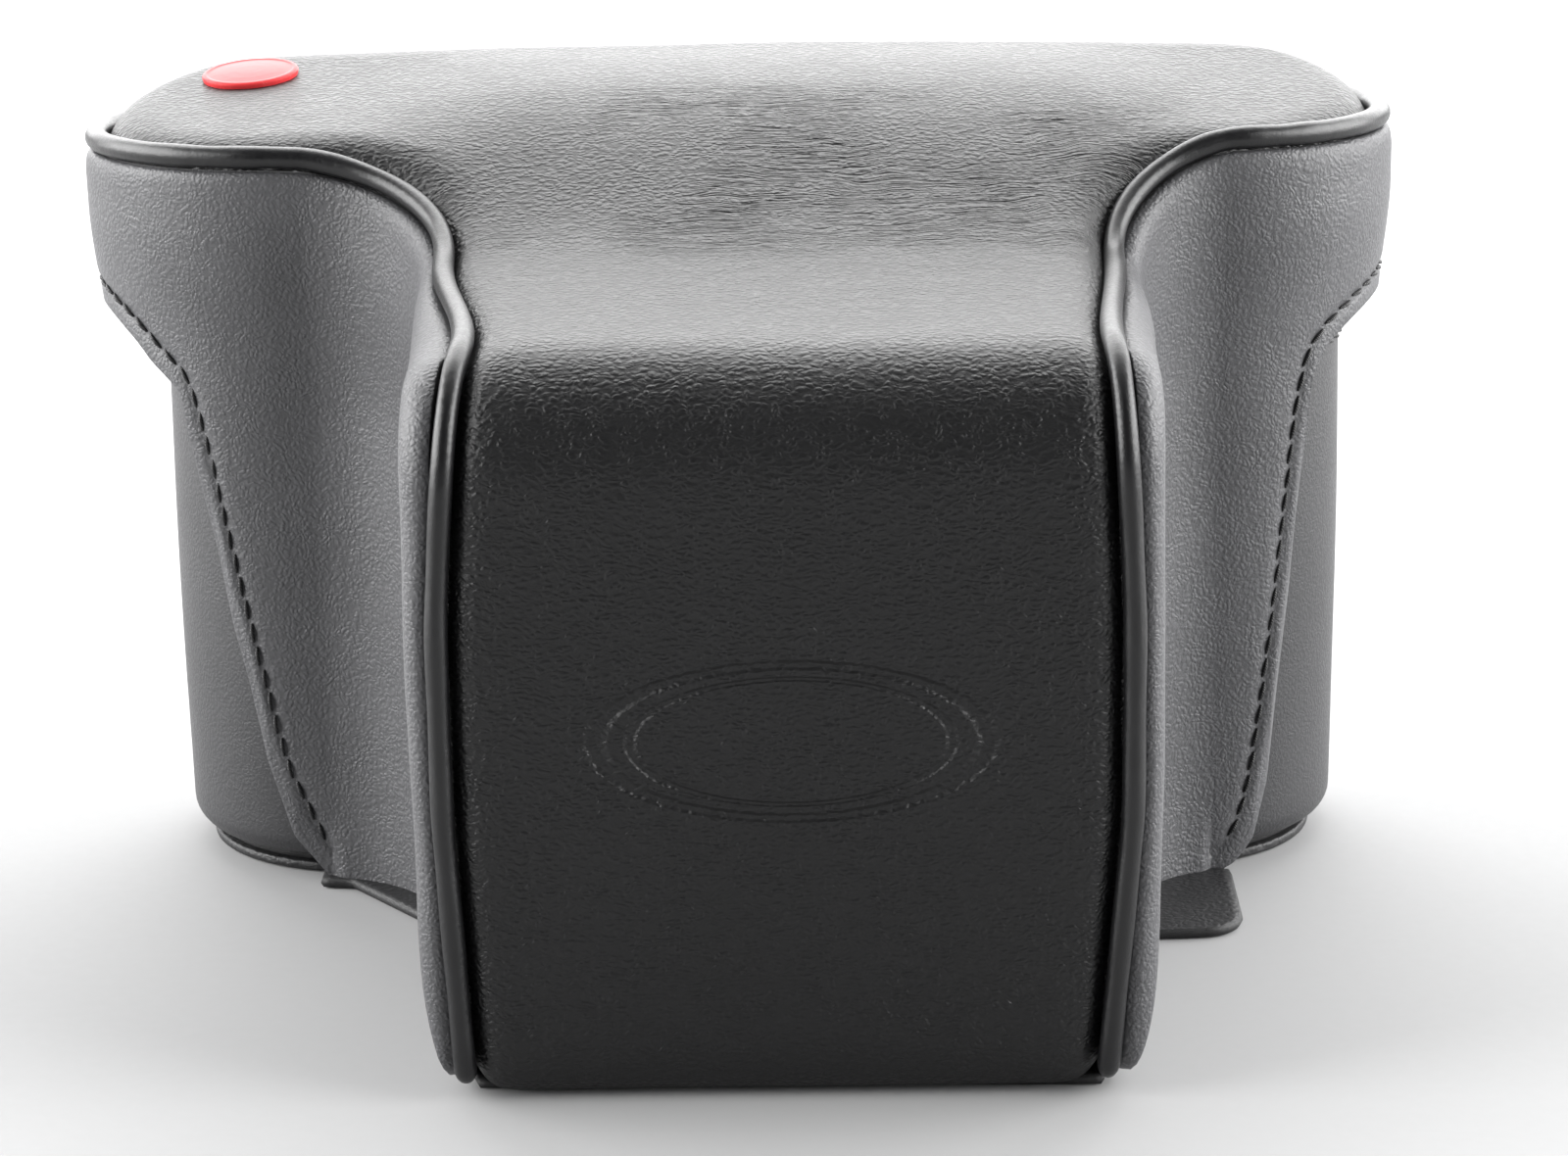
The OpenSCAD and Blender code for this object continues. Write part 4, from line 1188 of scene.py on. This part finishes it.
def area_light(name, at, aim, size, power, tint=(1, 1, 1)):
    data = bpy.data.lights.new(name, "AREA")
    data.shape = "RECTANGLE"
    data.size, data.size_y = size
    data.energy = power
    data.color = tint
    light = add_object(name, data)
    light.location = at
    light.rotation_mode = "QUATERNION"
    light.rotation_quaternion = (Vector(aim) - Vector(at)).to_track_quat("-Z", "Y")


def make_lights():
    """A white tent: bright behind and at both sides, dimmer above, dark in front."""
    aim = (0.0, 0.0, 0.06)
    area_light("back_softbox", (0.0, 1.25, 0.52), aim, (2.4, 0.85), BACK_POWER)
    area_light("high_softbox", (0.0, 0.72, 1.0), aim, (1.6, 0.5), HIGH_POWER)
    area_light("overhead_softbox", (0.0, 0.2, 1.25), aim, (1.2, 0.9), TOP_POWER)
    for name, s in (("left", -1), ("right", 1)):
        area_light(f"{name}_softbox", (s * 1.15, 0.0, 0.5), aim, (1.5, 1.0), SIDE_POWER)
        area_light(f"{name}_fill", (s * 1.05, -0.62, 0.35), aim, (0.5, 0.7), FILL_POWER)
    world = bpy.data.worlds.new("studio")
    world.use_nodes = True
    world.node_tree.nodes["Background"].inputs["Color"].default_value = (0.95, 0.96, 1.0, 1)
    world.node_tree.nodes["Background"].inputs["Strength"].default_value = 0.06
    bpy.context.scene.world = world
    bpy.context.scene.view_settings.view_transform = "Standard"


def make_camera():
    """The photograph's viewing angle."""
    pitch, yaw, roll_angle = math.radians(PITCH), math.radians(YAW), math.radians(ROLL)
    ahead = Vector((math.sin(yaw) * math.cos(pitch), math.cos(yaw) * math.cos(pitch), -math.sin(pitch)))
    right = Vector((math.cos(yaw), -math.sin(yaw), 0))
    up = right.cross(ahead)
    right, up = (math.cos(roll_angle) * right + math.sin(roll_angle) * up,
                 math.cos(roll_angle) * up - math.sin(roll_angle) * right)
    data = bpy.data.cameras.new("camera")
    data.lens = CAMERA_LENS
    data.sensor_width = 36.0
    camera = add_object("camera", data)
    rows = [(right[k], up[k], -ahead[k], CAMERA_AT[k]) for k in range(3)]
    camera.matrix_world = Matrix((*rows, (0, 0, 0, 1)))
    bpy.context.scene.camera = camera


make_camera()
make_stage()
make_lights()
make_strip()
make_cheek(LEFT, "left_cheek")
make_cheek(RIGHT, "right_cheek")
make_piping(LEFT, "left_piping")
make_piping(RIGHT, "right_piping")
make_bottom()
make_half_case()
make_pad()
make_snaps()
make_badge()
make_flap_stitches()
make_case_stitches()
dress_cad("base_panel", BASE_CAD, 0.3)
dress_cad("base_welt", WELT, 0.1)
dress_cad("screw_bush", BRASS)
dress_cad("camera_screw", SCREW, 0.18)
dress_cad("screw_ring", STEEL, 0.1)
